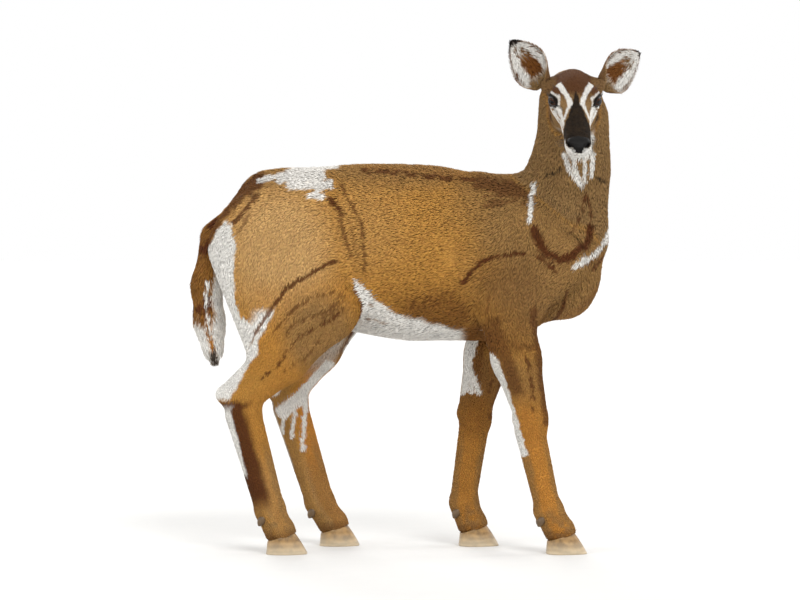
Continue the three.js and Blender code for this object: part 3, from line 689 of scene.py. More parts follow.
class Markings:
    """The colours of the coat as shares of each tone, laid over one another in this order."""
    TONES = ("pale", "warm", "grey", "dark", "black", "white")

    def __init__(self, points, regions):
        self.p = points
        self.r = regions
        self.share = {tone: np.zeros(len(points)) for tone in self.TONES}
        self.side = points[:, [0, 2]]  # seen from the side
        self.trunk = np.clip(regions["trunk"] + regions["upper"] + regions["neck"] * 0.5, 0, 1)
        self.head = in_head(points)
        self.on_head = rise(regions["head"] + regions["crown"] + regions["muzzle"], 0.35, 0.75)
        self.on_neck = rise(regions["neck"], 0.25, 0.7)
        self.paint_trunk()
        self.paint_legs()
        self.paint_tail()
        self.paint_neck()
        self.paint_head()

    def lay(self, tone, share):
        self.share[tone] = np.maximum(self.share[tone], np.clip(share, 0, 1))

    def clear(self, tone, share):
        self.share[tone] *= 1 - np.clip(share, 0, 1)

    def cover(self, tone, share, *under):
        """Lays a tone and takes away the tones it would mix with."""
        self.lay(tone, share)
        for other in under:
            self.clear(other, share)

    def strokes(self, tone, share, soft, ragged, seed, *rows, on=None):
        """Strokes of one tone: each row gives a line, its half width and its strength."""
        on = self.side if on is None else on
        for line, width, strength in rows:
            self.lay(tone, strength * stroke(on, line, width, soft, ragged, seed) * share)

    def paint_trunk(self):
        p, side = self.p, self.side
        x, z = side.T
        body = rise(self.r["trunk"] + self.r["upper"], 0.3, 0.7)
        self.lay("pale", 0.9 * fall(np.hypot(x + 285, 0.85 * (z - 750)), 60, 195) * body)
        cloud = rise(noise(p, 150, 1), -0.8, 0.9)
        self.lay("pale", 0.28 * cloud * rise(z, 620, 760) * fall(x, 0, 220) * body)
        saddle = rise(z + 10 * noise(p, 40, 2), 860, 925)
        self.lay("grey", (0.6 + 0.2 * rise(x, 150, 300)) * saddle * body)
        self.lay("dark", 0.16 * saddle * rise(x, -120, 0) * body)
        shoulder = rise(x + 0.25 * (z - 720) + 22 * noise(p, 60, 3), 90, 290)
        self.lay("grey", 0.75 * shoulder * (0.45 + 0.55 * rise(z, 500, 610)) * body)
        self.lay("warm", 0.7 * stroke(side, [(-70, 934), (90, 922), (200, 912)], 5, 8, 4) * body)
        low = fall(z + 16 * noise(p, 26, 4), 575, 690) * rise(x, -60, 60) * fall(x, 150, 210)
        self.lay("dark", 0.65 * low * body)
        # Painted shade: a dark patch in the armpit, where the foreleg meets the chest.
        self.lay("dark", 0.75 * fall(np.hypot(x - 205, (z - 520) * 1.1), 30, 85) * body)
        front = rise(x + 20 * noise(p, 45, 6), 140, 230) * fall(z, 660, 780)
        self.lay("dark", 0.36 * front * fall(x, 290, 400) * body)
        self.strokes(
            "dark", body, 6, 3, 3,
            ([(-158, 861), (-128, 821)], 6, 0.95), ([(-133, 812), (-109, 725)], 3.5, 0.7),
            ([(-131, 889), (-82, 801), (-76, 740), (-74, 687)], 4, 0.75), ([(-112, 818), (-93, 725)], 3, 0.5),
            ([(-332, 871), (-388, 810)], 5, 0.85), ([(-352, 829), (-384, 782)], 3, 0.5),
            ([(160, 660), (180, 688), (208, 713), (245, 729), (299, 737)], 5, 0.95),
            ([(331, 728), (349, 722), (380, 692)], 4.5, 0.9),
            ([(157, 610), (171, 566)], 4, 0.7), ([(220, 639), (206, 590)], 3.5, 0.6),
            ([(410, 643), (389, 579), (355, 520)], 4, 0.8),
            ([(208, 560), (262, 520), (310, 506), (352, 512)], 9, 0.6))
        broken = rise(noise(p, 11, 5), -0.35, 0.15)
        ridge = stroke(side, [(-77, 926), (3, 922), (81, 912), (196, 900)], 7, 7, 4)
        self.lay("dark", 0.85 * ridge * body * np.maximum(broken, 0.45))
        withers = stroke(side, [(205, 898), (255, 886), (330, 878)], 18, 16, 8)
        for line in ([(215, 866), (300, 872)], [(222, 852), (290, 858)], [(214, 840), (262, 852)],
                     [(300, 850), (330, 850)]):
            withers = np.maximum(withers, 0.8 * stroke(side, line, 4, 6, 3))
        self.lay("dark", 0.72 * withers * body)
        for k in range(8):
            line = [(40 + 13 * k, 592 + 3 * k), (47 + 13 * k, 622 + 3 * k)]
            self.lay("dark", 0.8 * stroke(side, line, 2.4, 4, 3) * body)
        croup = stroke(side, [(-485, 735), (-462, 785), (-436, 826), (-396, 868), (-335, 903)], 22, 16, 8)
        self.lay("dark", 0.85 * croup * body)
        # Painted highlight: white strokes on the top of the croup, where the light catches it.
        self.strokes(
            "white", body, 5, 4, 7,
            ([(-332, 906), (-286, 914), (-240, 924)], 7, 0.95),
            ([(-280, 908), (-246, 926), (-146, 944)], 12, 0.95),
            ([(-252, 893), (-160, 892)], 10, 0.95), ([(-252, 908), (-182, 911)], 13, 0.95),
            ([(-158, 891), (-206, 868), (-176, 866)], 6, 0.95), ([(-240, 926), (-180, 927)], 12, 0.95))
        self.paint_belly()

    def paint_belly(self):
        p = self.p
        x, y, z = p.T
        rough = noise(p * (0.35, 0.35, 1), 7, 8)
        top = np.interp(x, [-101, -77, -52, -17, 4, 38, 74, 108, 154],
                        [668, 657, 622, 596, 583, 577, 567, 557, 546])
        thigh = np.interp(z, [492, 531, 573, 615, 653], [-143, -119, -96, -88, -103])
        belly = fall(z + 5 * rough, top - 5, top + 5)
        belly = belly * rise(x, thigh - 3, thigh + 5) * fall(x + 6 * rough, 152, 172)
        self.lay("white", belly * fall(self.r["limb"] + self.r["foot"], 0.2, 0.5))
        for line in ([(-64, 609), (-52, 601)], [(-68, 573), (-40, 566), (-22, 559)]):
            self.cover("dark", 0.7 * belly * stroke(self.side, line, 2.4, 4, 3), "white")
        under = fall(z, 500, 560) * rise(92 - np.abs(y), 0, 26) * rise(x, -330, -250) * fall(x, 150, 180)
        self.lay("white", under * (self.r["trunk"] + self.r["upper"]))

    def leg_frame(self, leg):
        """Share of this leg, distance in front of its bone line, and distance outward from it."""
        bones = np.array(JOINTS[leg])[::-1]
        bones = np.vstack([bones, bones[-1] + (0, 0, 160)])
        x, y, z = self.p.T
        front, out = (values - np.interp(z, bones[:, 2], bones[:, i]) for i, values in enumerate((x, y)))
        s = side_of(leg)
        here = fall(np.hypot(front, out), 150, 190) * (y * s > 0)
        legs = rise(self.r["upper"] + self.r["limb"] + self.r["foot"], 0.3, 0.7)
        return here * legs, front, out * s

    def paint_legs(self):
        z = self.p[:, 2]
        rough = noise(self.p * (1, 1, 0.35), 12, 9)
        for leg in JOINTS:
            here, front, out = self.leg_frame(leg)
            profile = np.c_[front, z]
            low = fall(z, 440, 540)
            inner = fall(out, -14, 2)
            if leg.startswith("hind"):
                bright = 1.0 if leg.endswith("left") else 0.25
                self.lay("warm", bright * here * low * rise(front + 5 * rough, -12, 8))
                self.paint_hindleg(leg, here, front, inner)
            else:
                middle = fall(np.abs(front + 2 + 4 * rough), 12, 26)
                far = leg.endswith("left")
                self.lay("warm", (0.6 if far else 0.85) * here * fall(z, 330, 420) * (0.45 + 0.55 * middle))
                self.lay("dark", (0.5 if far else 0.14) * here * rise(z + 12 * rough, 210, 330) * low)
                self.lay("dark", (0.18 if far else 0.04) * here * fall(z, 300, 360))
                self.lay("grey", 0.5 * here * rise(z, 330, 420) * low)
                shade = stroke(profile, [(64, 600), (54, 480), (47, 400), (40, 325)], 11, 16, 4)
                self.lay("dark", 0.75 * here * shade)
                # Painted shade: a wide dark band down the back of the upper foreleg, behind the elbow.
                shade = stroke(profile, [(-34, 570), (-28, 480), (-16, 405)], 20, 26, 6)
                self.lay("dark", 0.7 * here * shade)
                self.lay("dark", 0.8 * here * stroke(profile, [(24, 490), (23, 420), (12, 350)], 5, 7, 5)
                         * rise(noise(self.p * (1, 1, 0.5), 6, 10), -0.4, 0.1))
                rear = stroke(profile, [(-57, 485), (-45, 400), (-38, 327), (-33, 250)], 10, 5, 3, 11)
                patch = stroke(profile, [(-52, 532), (-52, 450), (-46, 395)], 17, 5, 5, 12)
                for drip in ([(-40, 450), (-22, 388)], [(-36, 440), (-4, 384)]):
                    patch = np.maximum(patch, stroke(profile, drip, 6, 5, 2, 12))
                white = patch * inner if far else np.maximum(rear * (1 - inner), patch * inner)
                self.cover("white", here * white, "dark")
            edge = rise(np.abs(front + 4 * rough), 14, 26) * fall(z, 220, 300)
            self.lay("grey", 0.55 * here * edge)
            specks = rise(noise(self.p, 13, 13), -0.4, 0.3)
            self.lay("grey", 0.65 * here * fall(z + 14 * rough, 70, 130) * specks)
            self.lay("dark", 0.45 * here * fall(z, 50, 72))
        near = self.trunk * rise(np.abs(self.p[:, 1]), 45, 70)
        for line, width in (
            ([(-144, 714), (-180, 703), (-220, 682), (-269, 653), (-294, 621), (-340, 552), (-380, 492)],
             4.5),
            ([(-103, 653), (-88, 615), (-96, 573), (-119, 531), (-143, 492)], 4),
        ):
            self.cover("dark", 0.9 * stroke(self.side, line, width, 5, 2.5) * near, "white")

    def paint_hindleg(self, leg, here, front, inner):
        x, z = self.side.T
        rough = noise(self.p * (1, 1, 0.35), 12, 14)
        hock = JOINTS[leg][1]
        thigh = here * rise(z, 430, 470)
        dashed = rise(noise(self.p, 6, 15), -0.45, 0.05)
        self.strokes(
            "dark", here * dashed, 5, 3, 3,
            ([(-303, 548), (-248, 606), (-208, 630), (-122, 652)], 3, 0.7),
            ([(-270, 541), (-245, 572), (-178, 594), (-132, 625)], 3, 0.65),
            ([(-331, 430), (-285, 471), (-245, 529), (-208, 554), (-159, 578), (-132, 603)], 4, 0.85),
            ([(-276, 450), (-220, 486), (-184, 535)], 2.6, 0.6), ([(-180, 575), (-135, 632)], 9, 0.5))
        self.lay("warm", 0.2 * thigh * fall(z, 640, 690))
        self.lay("grey", 0.7 * here * fall(np.hypot(x + 190, 0.9 * (z - 540)), 50, 120))
        shin = here * fall(z + 10 * rough, 150, 300) * rise(front, -30, 0)
        left = leg.endswith("left")
        self.lay("pale", (0.55 if left else 0.4) * shin)
        self.lay("grey", (0.55 if left else 0.25) * shin)
        band = here * fall(z + 6 * rough, 366, 382) * fall(front + 5 * rough, -6, 14) * rise(z, 95, 150)
        if left:
            self.lay("dark", 0.55 * band * (1 - inner))
            self.lay("grey", 0.5 * here * fall(front + 5 * rough, -22, -6) * fall(z, 380, 430))
            rear = (1 - inner) * fall(front + 4 * rough, -35, -29) * rise(z, 190, 210)
        else:
            self.lay("dark", 0.95 * band)
            rear = fall(front + 3 * rough, -35, -29) * rise(z + 8 * rough, 188, 206)
        self.lay("white", here * rear * fall(z, 345, 372))
        step = hock[0] - JOINTS["hindleg_right"][1][0]
        edge = np.interp(z, [372, 386, 436, 496, 523, 603], [-412, -403, -377, -340, -338, -297])
        edge = edge + step * fall(z, 470, 560)
        behind = fall(x + 5 * rough, edge - 4, edge + 4)
        self.lay("white", here * behind * rise(z, 372, 384) * fall(z, 590, 608))
        self.strokes(
            "white", here * inner, 5, 3, 16,
            ([(99, 452), (62, 410), (20, 368), (-20, 338)], 17, 1),
            ([(38, 372), (32, 300), (30, 245)], 5.5, 1), ([(12, 350), (4, 300), (4, 276)], 5.5, 1),
            ([(-16, 338), (-20, 288)], 5.5, 1), on=np.c_[x - hock[0], z])

    def paint_tail(self):
        tail = rise(self.r["tail"], 0.35, 0.75)
        x, z = self.side.T
        rough = noise(self.p * (1, 1, 0.4), 9, 17)
        spine = np.array(TAIL_SPINE[::-1])
        behind = np.interp(z, spine[:, 2], spine[:, 0]) - x
        brown = np.interp(z, [540, 690, 737, 784, 823], [-12, -14, -22, -32, -42])
        brown = rise(behind + 4 * rough, brown - 3, brown + 4) * rise(z + 16 * rough, 560, 586)
        profile = np.c_[behind, z]
        streak = stroke(profile, [(0, 590), (0, 516)], 7, 5, 3, 18)
        for tone in ("pale", "grey", "dark", "white"):
            self.clear(tone, tail)
        self.lay("white", tail * (1 - np.maximum(brown, streak)))
        self.lay("white", tail * stroke(profile, [(-3, 676), (0, 600), (-2, 540)], 3.2, 4, 2, 19))
        deep = np.maximum(0.62, rise(noise(self.p, 20, 20), -0.5, 0.4))
        self.lay("dark", tail * deep * np.maximum(brown, 0.5 * streak))
        self.lay("warm", tail * streak)
        self.cover("black", 0.95 * tail * stroke(profile, [(-2, 500), (-2, 466)], 9, 6, 4, 21), "white")
        edge = np.interp(z, [496, 540, 562, 584, 624, 664, 712, 750, 793, 826],
                         [-372, -350, -352, -383, -398, -401, -397, -389, -396, -420])
        rear = np.interp(z, [700, 737, 774, 800, 820], [-500, -476, -444, -426, -406])
        rump = fall(x + 6 * rough, edge - 3, edge + 4) * rise(x + 5 * rough, rear - 4, rear + 4)
        body = rise(self.r["trunk"] + self.r["upper"], 0.3, 0.6)
        self.lay("white", rump * rise(z, 470, 500) * body * (1 - tail))

    def paint_neck(self):
        neck = self.on_neck
        self.lay("grey", 0.95 * neck)
        self.clear("pale", neck)
        self.clear("dark", 0.8 * neck)
        both = rise(neck + self.r["trunk"] + self.r["upper"], 0.4, 0.8)
        self.strokes(
            "dark", both, 7, 4, 22,
            ([(324, 792), (338, 760), (357, 737), (392, 719), (420, 730), (450, 760), (462, 798)], 9.5, 0.95),
            ([(453, 882), (439, 824), (408, 778)], 3, 0.8), ([(453, 882), (466, 834), (463, 798)], 4, 0.8),
            ([(334, 770), (348, 742), (372, 725)], 13, 0.7), ([(333, 727), (350, 721), (380, 689)], 4, 0.9),
            ([(498, 729), (467, 701)], 3.5, 0.8),
            ([(446, 712), (492, 724)], 4, 0.5), ([(505, 700), (478, 640), (440, 600)], 6, 0.35))
        self.strokes("warm", self.r["trunk"], 16, 5, 23, ([(490, 650), (450, 606), (405, 580)], 14, 0.8))
        self.strokes("white", both, 4, 3, 24, ([(331, 900), (322, 850), (312, 812)], 5.5, 1))
        self.strokes("white", both, 5, 3, 25, ([(427, 705), (474, 736), (501, 768), (516, 812)], 6.5, 1))
        front = rise(-self.p[:, 1], -10, 30) * rise(neck + self.on_head, 0.3, 0.6)
        self.strokes("white", front, 10, 4, 26, ([(435, 1020), (436, 992)], 32, 1))
        self.strokes("white", front, 4, 2, 27,
                     ([(398, 975), (412, 936), (436, 904)], 5.4, 1),
                     ([(418, 975), (428, 930), (444, 898)], 5.4, 1),
                     ([(447, 975), (450, 912)], 5.4, 1), ([(468, 975), (465, 922)], 5.4, 1))
        self.strokes("black", front * neck, 4, 1.5, 3,
                     ([(358, 922), (390, 939)], 2.4, 0.85), ([(475, 921), (499, 908)], 2.4, 0.85))

    def paint_head(self):
        head = self.on_head
        u, v, w = self.head.T
        side = np.abs(v)
        rough = noise(self.p, 7, 28)
        for tone in self.TONES:
            self.clear(tone, head)
        top = np.interp(u, SKULL[:, 0], SKULL[:, 3])
        mirrored = np.c_[u, side, w]
        self.lay("grey", head)
        self.lay("warm", 0.35 * head * rise(u, 90, 130) * fall(w, 20, 40))
        crown = head * fall(u + 6 * rough, 104, 136) * rise(u, -10, 12)
        crown = crown * rise(w + 0.4 * side * (u > 80), 34, 50)
        self.lay("dark", 0.85 * crown)
        self.lay("black", 0.16 * crown)
        self.lay("dark", 0.45 * head * rise(u, -30, 60) * fall(u, 70, 90))
        wedge = side - np.interp(u, [104, 124, 150, 175, 196, 214], [1, 4, 10, 17, 27, 38])
        floor = np.interp(u, [150, 190, 215, 240], [-22, -26, -44, -60])
        wedge = fall(wedge + 2.5 * rough, -2, 2) * rise(w - top + 2 * rough, floor - 4, floor + 4)
        wedge = wedge * (0.955 + 0.045 * noise(self.p, 5, 33))
        self.lay("black", head * wedge * rise(u + 6 * rough, 98, 122))
        for line, width in (
            ([(76, 37, 56), (92, 33, 58), (110, 25, 53), (130, 17, 49), (147, 14, 43)], 6.6),
            ([(147, 14, 43), (162, 22, 34), (176, 28, 20)], 5.0),
            ([(112, 42, 22), (134, 35, 18), (160, 30, 14), (184, 28, 8)], 7.0),
            ([(90, 54, 6), (110, 48, 0), (136, 40, -5), (164, 34, -8), (190, 30, -8)], 6.0),
            ([(118, 44, 10), (140, 37, 5), (168, 32, 0)], 3.5),
        ):
            self.lay("white", head * fall(from_line(mirrored, line) + 1.6 * rough, width - 1.5, width + 1.5))
        jaw = fall(w + 3 * rough, -41, -35)
        self.lay("white", head * jaw * rise(u, 90, 130))
        self.lay("white", head * fall(w + 2 * rough, -29, -24) * rise(u + 3 * rough, 206, 222))
        lip = rise(u + rough, 226, 236) * fall(w - 0.015 * v ** 2 + rough, -13, -10.5)
        self.cover("white", head * lip, "black")
        for s in SIDES.values():
            q = (self.p - eye_centre(s)) @ eye_axes(s).T
            reach = np.hypot(q[:, 0] / (LID_HALF_LENGTH + 3.5), (q[:, 1] - 1) / (UPPER_LID + 2.5)) - 1
            near = rise(q[:, 2], 0, 6)
            ring = 0.55 + 0.45 * rise(q[:, 0], -8, 4) * fall(q[:, 1], -2, 8) + 0.3 * rise(q[:, 1], 6, 10)
            self.lay("white", head * near * np.minimum(ring, 1) * fall(reach + 0.12 * rough, 0.42, 0.58))
            self.cover("black", head * near * fall(reach, 0.14, 0.28), "white")
            for line, width in (([(110, s * 50, 24), (122, s * 43, 17), (131, s * 38, 12)], 3.5),
                                ([(84, s * 51, 33), (72, s * 52, 38), (58, s * 50, 42)], 4.2)):
                corner = fall(from_line(self.head, line), width - 1.5, width + 1.5)
                self.cover("black", 0.9 * head * corner, "white")
            # Painted shade: a black stroke along the lower edge of each jaw.
            jaw_edge_shade = [(70, s * 52, -26), (96, s * 46, -38), (130, s * 34, -46), (160, s * 26, -46)]
            self.cover("black", 0.8 * head * fall(from_line(self.head, jaw_edge_shade) + rough, 2.5, 5), "white")
        self.cover("black", head * nose_share(self.p), "white")

    def ear(self, share, inner, along, across, black_tip):
        """Ears: brown outside with a black tip, white inside with a red-brown patch low in the middle."""
        rough = noise(self.p, 8, 29)
        streaks = noise(self.p, 7, 30)
        for tone in self.TONES:
            self.clear(tone, share)
        self.lay("grey", share)
        self.lay("dark", share * (1 - inner) * 0.5)
        patch = fall(np.abs(across) + 0.14 * rough, 0.4, 0.56) * rise(along + 0.05 * rough, 0.11, 0.19)
        red = patch * fall(along + 0.1 * streaks, 0.52, 0.62)
        tan = patch * rise(along, 0.44, 0.56) * fall(along + 0.1 * rough, 0.72, 0.82)
        tan = tan * rise(streaks, -0.25, 0.05)
        self.lay("warm", share * inner * np.maximum(red, tan))
        self.clear("grey", share * inner * red)
        self.lay("dark", share * inner * 0.82 * red)
        self.lay("dark", share * inner * 0.35 * tan)
        self.lay("white", share * inner * (1 - np.maximum(red, tan)) * rise(along + 0.06 * rough, 0.08, 0.2))
        rim = share * rise(np.abs(across) + 0.05 * rough, 0.93, 0.99) * rise(along, 0.1, 0.3)
        self.lay("dark", 0.8 * rim)
        self.clear("white", rim)
        self.cover("black", share * rise(along + 0.04 * rough, black_tip - 0.04, black_tip + 0.03), "white")

    def colours(self):
        """Two sets of three shares, as the coat's materials read them."""
        columns = [self.share[tone] for tone in self.TONES]
        return np.stack(columns[:3], 1), np.stack(columns[3:], 1)


# ---------------------------------------------------------------- materials
def paint(code):
    """An sRGB hex value as a linear colour."""
    values = [int(code[i:i + 2], 16) / 255 for i in (1, 3, 5)]
    return [v / 12.92 if v <= 0.04045 else ((v + 0.055) / 1.055) ** 2.4 for v in values]


def node(tree, kind, inputs=None, **settings):
    """Adds a node with its settings; each input takes a value or another node's output."""
    made = tree.nodes.new(kind)
    for name, value in settings.items():
        setattr(made, name, value)
    for key, value in (inputs or {}).items():
        socket = made.inputs[key]
        if isinstance(value, bpy.types.NodeSocket):
            tree.links.new(value, socket)
        else:
            socket.default_value = value
    return made


def new_material(name):
    """A material with no nodes but its output, and the tree to fill."""
    material = bpy.data.materials.new(name)
    material.use_nodes = True
    tree = material.node_tree
    tree.nodes.clear()
    tree.nodes.new("ShaderNodeOutputMaterial")
    return material, tree


def surface(tree, colour, roughness, others=None):
    """Ends a material with its surface."""
    inputs = {"Base Color": colour, "Roughness": roughness, **(others or {})}
    shader = node(tree, "ShaderNodeBsdfPrincipled", inputs)
    tree.links.new(shader.outputs[0], tree.nodes["Material Output"].inputs["Surface"])


def ink(code):
    return (*paint(code), 1.0)


def blended(tree, share, first, second):
    """Mixes two colours by a share."""
    return node(tree, "ShaderNodeMix", {0: share, 6: first, 7: second}, data_type="RGBA").outputs[2]


def ranged(tree, value, to_low=0.0, to_high=1.0, low=0.0, high=1.0):
    """A value carried from one range to another, and held inside it."""
    return node(tree, "ShaderNodeMapRange", {
        "Value": value, "From Min": low, "From Max": high, "To Min": to_low, "To Max": to_high}).outputs[0]


def reckoned(tree, operation, first, second, kind="ShaderNodeMath"):
    return node(tree, kind, {0: first, 1: second}, operation=operation).outputs[0]


def stretched(tree, vector, shape):
    return reckoned(tree, "MULTIPLY", vector, shape, "ShaderNodeVectorMath")


def size_of(tree, vector):
    return node(tree, "ShaderNodeVectorMath", {0: vector}, operation="LENGTH").outputs["Value"]


def bumps(tree, height, distance, strength, invert=False):
    return node(tree, "ShaderNodeBump", {"Height": height, "Distance": distance, "Strength": strength},
                invert=invert).outputs[0]


def held(tree, name, output):
    """Numbers that the mesh holds under a name."""
    return node(tree, "ShaderNodeAttribute", attribute_name=name).outputs[output]


def place_on(tree):
    return node(tree, "ShaderNodeTexCoord").outputs["Object"]


def millimetres(tree, size, detail=2.0):
    """A noise on the piece's own coordinates whose features are about this many millimetres wide."""
    inputs = {"Vector": place_on(tree), "Scale": 1000 / size, "Detail": detail}
    return node(tree, "ShaderNodeTexNoise", inputs).outputs[0]


def coat_colour(tree):
    """Tan fur with every marking laid over it, as the two sets of shares on the mesh say."""
    colours = bpy.context.scene.deer_colours
    result = (*colours.tan, 1.0)
    for attribute, tones in (("tone", ("pale", "warm", "grey")), ("mark", ("dark", "black", "white"))):
        parts = node(tree, "ShaderNodeSeparateColor", {"Color": held(tree, attribute, "Color")})
        for channel, tone in enumerate(tones):
            result = blended(tree, parts.outputs[channel], result, (*getattr(colours, tone), 1.0))
    return result


def fur_material():
    """Guard hairs: hollow, straight and dull, darkened at the root and brightened at the tip as painted
    shade, each lock with its own shade.
    """
    material, tree = new_material("deer guard hair")
    parts = node(tree, "ShaderNodeSeparateColor", {"Color": held(tree, "strand", "Color")}).outputs
    # Painted shade along each tuft: darker at the root among the other hairs, brighter at the tip.
    along = ranged(tree, parts["Red"], 0.82, 1.12)
    shade = ranged(tree, parts["Green"], 0.9, 1.1)
    patch = ranged(tree, millimetres(tree, 22), 0.93, 1.06, 0.3, 0.7)
    value = reckoned(tree, "MULTIPLY", reckoned(tree, "MULTIPLY", along, shade), patch)
    tinted = node(tree, "ShaderNodeHueSaturation", {
        "Hue": ranged(tree, parts["Green"], 0.495, 0.503), "Value": value, "Color": coat_colour(tree)})
    surface(tree, tinted.outputs[0], 0.7, {"Specular IOR Level": 0.12})
    return material


def skin_material():
    """Skin seen between the locks: the same markings, darkened as painted shade under the hair, combed by
    fine bumps.
    """
    material, tree = new_material("deer skin under painted hair shade")
    grain = millimetres(tree, 1.6, 3.0)
    # Painted shade: the markings at 0.64 to 0.9 of their brightness, as if in the hair's shadow.
    tinted = node(tree, "ShaderNodeHueSaturation", {
        "Value": ranged(tree, grain, 0.64, 0.9, 0.3, 0.7), "Color": coat_colour(tree)})
    surface(tree, tinted.outputs[0], 0.8, {
        "Specular IOR Level": 0.2, "Normal": bumps(tree, grain, 0.0008, 0.6)})
    return material


def nose_material():
    """Moist bare skin of the nose pad: black, with pebbles about 1.3 mm wide parted by fine furrows."""
    material, tree = new_material("nose pad skin")
    cells = node(tree, "ShaderNodeTexVoronoi", {"Vector": place_on(tree), "Scale": 1000 / 1.3})
    pebble = cells.outputs["Distance"]
    tint = blended(tree, ranged(tree, pebble, high=0.6), ink("#171310"), ink("#080605"))
    surface(tree, tint, ranged(tree, millimetres(tree, 5), 0.25, 0.5), {
        "Specular IOR Level": 0.14, "Normal": bumps(tree, pebble, 0.0005, 0.7, invert=True)})
    return material


def lid_material():
    """Dark wet skin at the rims of the lids."""
    material, tree = new_material("lid rim skin")
    tint = blended(tree, millimetres(tree, 3), ink("#0a0706"), ink("#1d1410"))
    surface(tree, tint, 0.32, {"Coat Weight": 0.4, "Coat Roughness": 0.15})
    return material


def eye_material():
    """A wet eye: dark iris with fine spokes, a long level pupil and a smoky rim under a clear cornea."""
    material, tree = new_material("deer eye under tears")
    gaze = held(tree, "gaze", "Vector")
    pupil = size_of(tree, stretched(tree, gaze, (1 / 0.40, 1 / 0.20, 0)))
    flat = stretched(tree, gaze, (1, 1, 0))
    ray = node(tree, "ShaderNodeVectorMath", {0: flat}, operation="NORMALIZE").outputs[0]
    spokes = node(tree, "ShaderNodeTexNoise", {"Vector": ray, "Scale": 14.0, "Detail": 3.0}).outputs[0]
    colour = blended(tree, spokes, ink("#1a0d06"), ink("#4a2812"))
    colour = blended(tree, ranged(tree, pupil, low=1.12, high=0.92), colour, ink("#020202"))
    colour = blended(tree, ranged(tree, size_of(tree, flat), low=0.60, high=0.70), colour, ink("#0f0a08"))
    surface(tree, colour, 0.3, {
        "Specular IOR Level": 0.0, "Coat Weight": 0.6, "Coat Roughness": 0.03, "Coat IOR": 1.376})
    return material


def horn_material():
    """Hoof horn: brown keratin, paler towards the sole, with faint growth rings and fine grain."""
    material, tree = new_material("hoof horn")
    place = place_on(tree)
    rings = node(tree, "ShaderNodeTexWave", {"Vector": place, "Scale": 1000 / 7 / 6.283, "Distortion": 5.0,
                                             "Detail": 2.0}, bands_direction="Z").outputs["Fac"]
    squeezed = stretched(tree, place, (1, 1, 0.15))
    grain = node(tree, "ShaderNodeTexNoise", {"Vector": squeezed, "Scale": 900.0, "Detail": 2.0}).outputs[0]
    mottle = ranged(tree, millimetres(tree, 18), 0, 0.85, 0.35, 0.65)
    high = node(tree, "ShaderNodeSeparateXYZ", {"Vector": place}).outputs["Z"]
    tint = blended(tree, grain, ink("#5a452e"), ink("#94713f"))
    for share, code in ((mottle, "#b08a54"), (ranged(tree, high, 0, 0.7, 0.034, 0.004), "#d6c7ab"),
                        (ranged(tree, high, 0, 0.8, 0.05, 0.066), "#4a3824"),
                        (reckoned(tree, "MULTIPLY", rings, 0.16), "#3a2c1e")):
        tint = blended(tree, share, tint, ink(code))
    surface(tree, tint, 0.42, {"Normal": bumps(tree, reckoned(tree, "ADD", rings, grain), 0.0004, 0.6)})
    return material


def bristle_material():
    """Whiskers and lashes: stiff black-brown hair with a slight gloss, paler in places."""
    material, tree = new_material("whisker hair")
    surface(tree, blended(tree, millimetres(tree, 9), ink("#0d0a08"), ink("#3a3028")), 0.4)
    return material


def floor_material():
    """Matt pale studio paper with a barely seen mottle."""
    material, tree = new_material("studio paper")
    tint = blended(tree, millimetres(tree, 60), ink("#dededc"), ink("#e2e1df"))
    surface(tree, tint, 0.9, {"Specular IOR Level": 0.1})
    return material


MAKERS = {"fur": fur_material, "skin": skin_material, "nose": nose_material, "lid": lid_material,
          "eye": eye_material, "horn": horn_material, "bristle": bristle_material, "floor": floor_material}
made_materials = {}


def finish_of(kind):
    """Each finish is made once and shared."""
    if kind not in made_materials:
        made_materials[kind] = MAKERS[kind]()
    return made_materials[kind]


# ---------------------------------------------------------------- pieces
def new_piece(name, points, faces, finishes, smooth=True):
    """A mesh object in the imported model's frame, from points in millimetres on the doe's own axes."""
    mesh = bpy.data.meshes.new(name)
    points = to_row(points).astype(np.float32)
    faces = [np.atleast_2d(np.asarray(f, np.int32)) for f in (faces if isinstance(faces, list) else [faces])]
    sizes = np.concatenate([np.full(len(f), f.shape[1], np.int32) for f in faces])
    corners = np.concatenate([f.ravel() for f in faces])
    mesh.vertices.add(len(points))
    mesh.vertices.foreach_set("co", points.ravel())
    mesh.loops.add(len(corners))
    mesh.loops.foreach_set("vertex_index", corners)
    mesh.polygons.add(len(sizes))
    mesh.polygons.foreach_set("loop_start", (np.cumsum(sizes) - sizes).astype(np.int32))
    mesh.update(calc_edges=True)
    mesh.polygons.foreach_set("use_smooth", np.full(len(sizes), smooth))
    for kind in finishes:
        mesh.materials.append(finish_of(kind))
    piece = bpy.data.objects.new(name, mesh)
    bpy.context.scene.collection.objects.link(piece)
    return piece


def hold(piece, name, values):
    """Stores three numbers for each point of a piece."""
    attribute = piece.data.attributes.new(name, "FLOAT_VECTOR", "POINT")
    attribute.data.foreach_set("vector", np.asarray(values, np.float32).ravel())


def enter(piece, slot, *nodes):
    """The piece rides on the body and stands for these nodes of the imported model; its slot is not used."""
    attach(piece, "root")
    if nodes:
        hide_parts(*nodes)


def hold_markings(piece, tones, marks):
    hold(piece, "tone", tones)
    hold(piece, "mark", marks)


def nose_share(points):
    """The bare nose pad, above the mouth and in front of the coat."""
    u, v, w = in_head(points).T
    return np.minimum(rise(u + 0.35 * w - 0.03 * np.abs(v), 253, 257), rise(w - 0.02 * v ** 2, -13, -10))


def bare_share(points):
    """Bare skin: the nose pad, and the rims and the inside of the lids."""
    share = nose_share(points)
    for s in SIDES.values():
        q = (points - eye_centre(s)) @ eye_axes(s).T
        gap = lid_gap(s)(points)
        share = np.maximum(share, fall(gap, 0.6, 1.8) * (np.linalg.norm(q, axis=1) < 30))
    return share


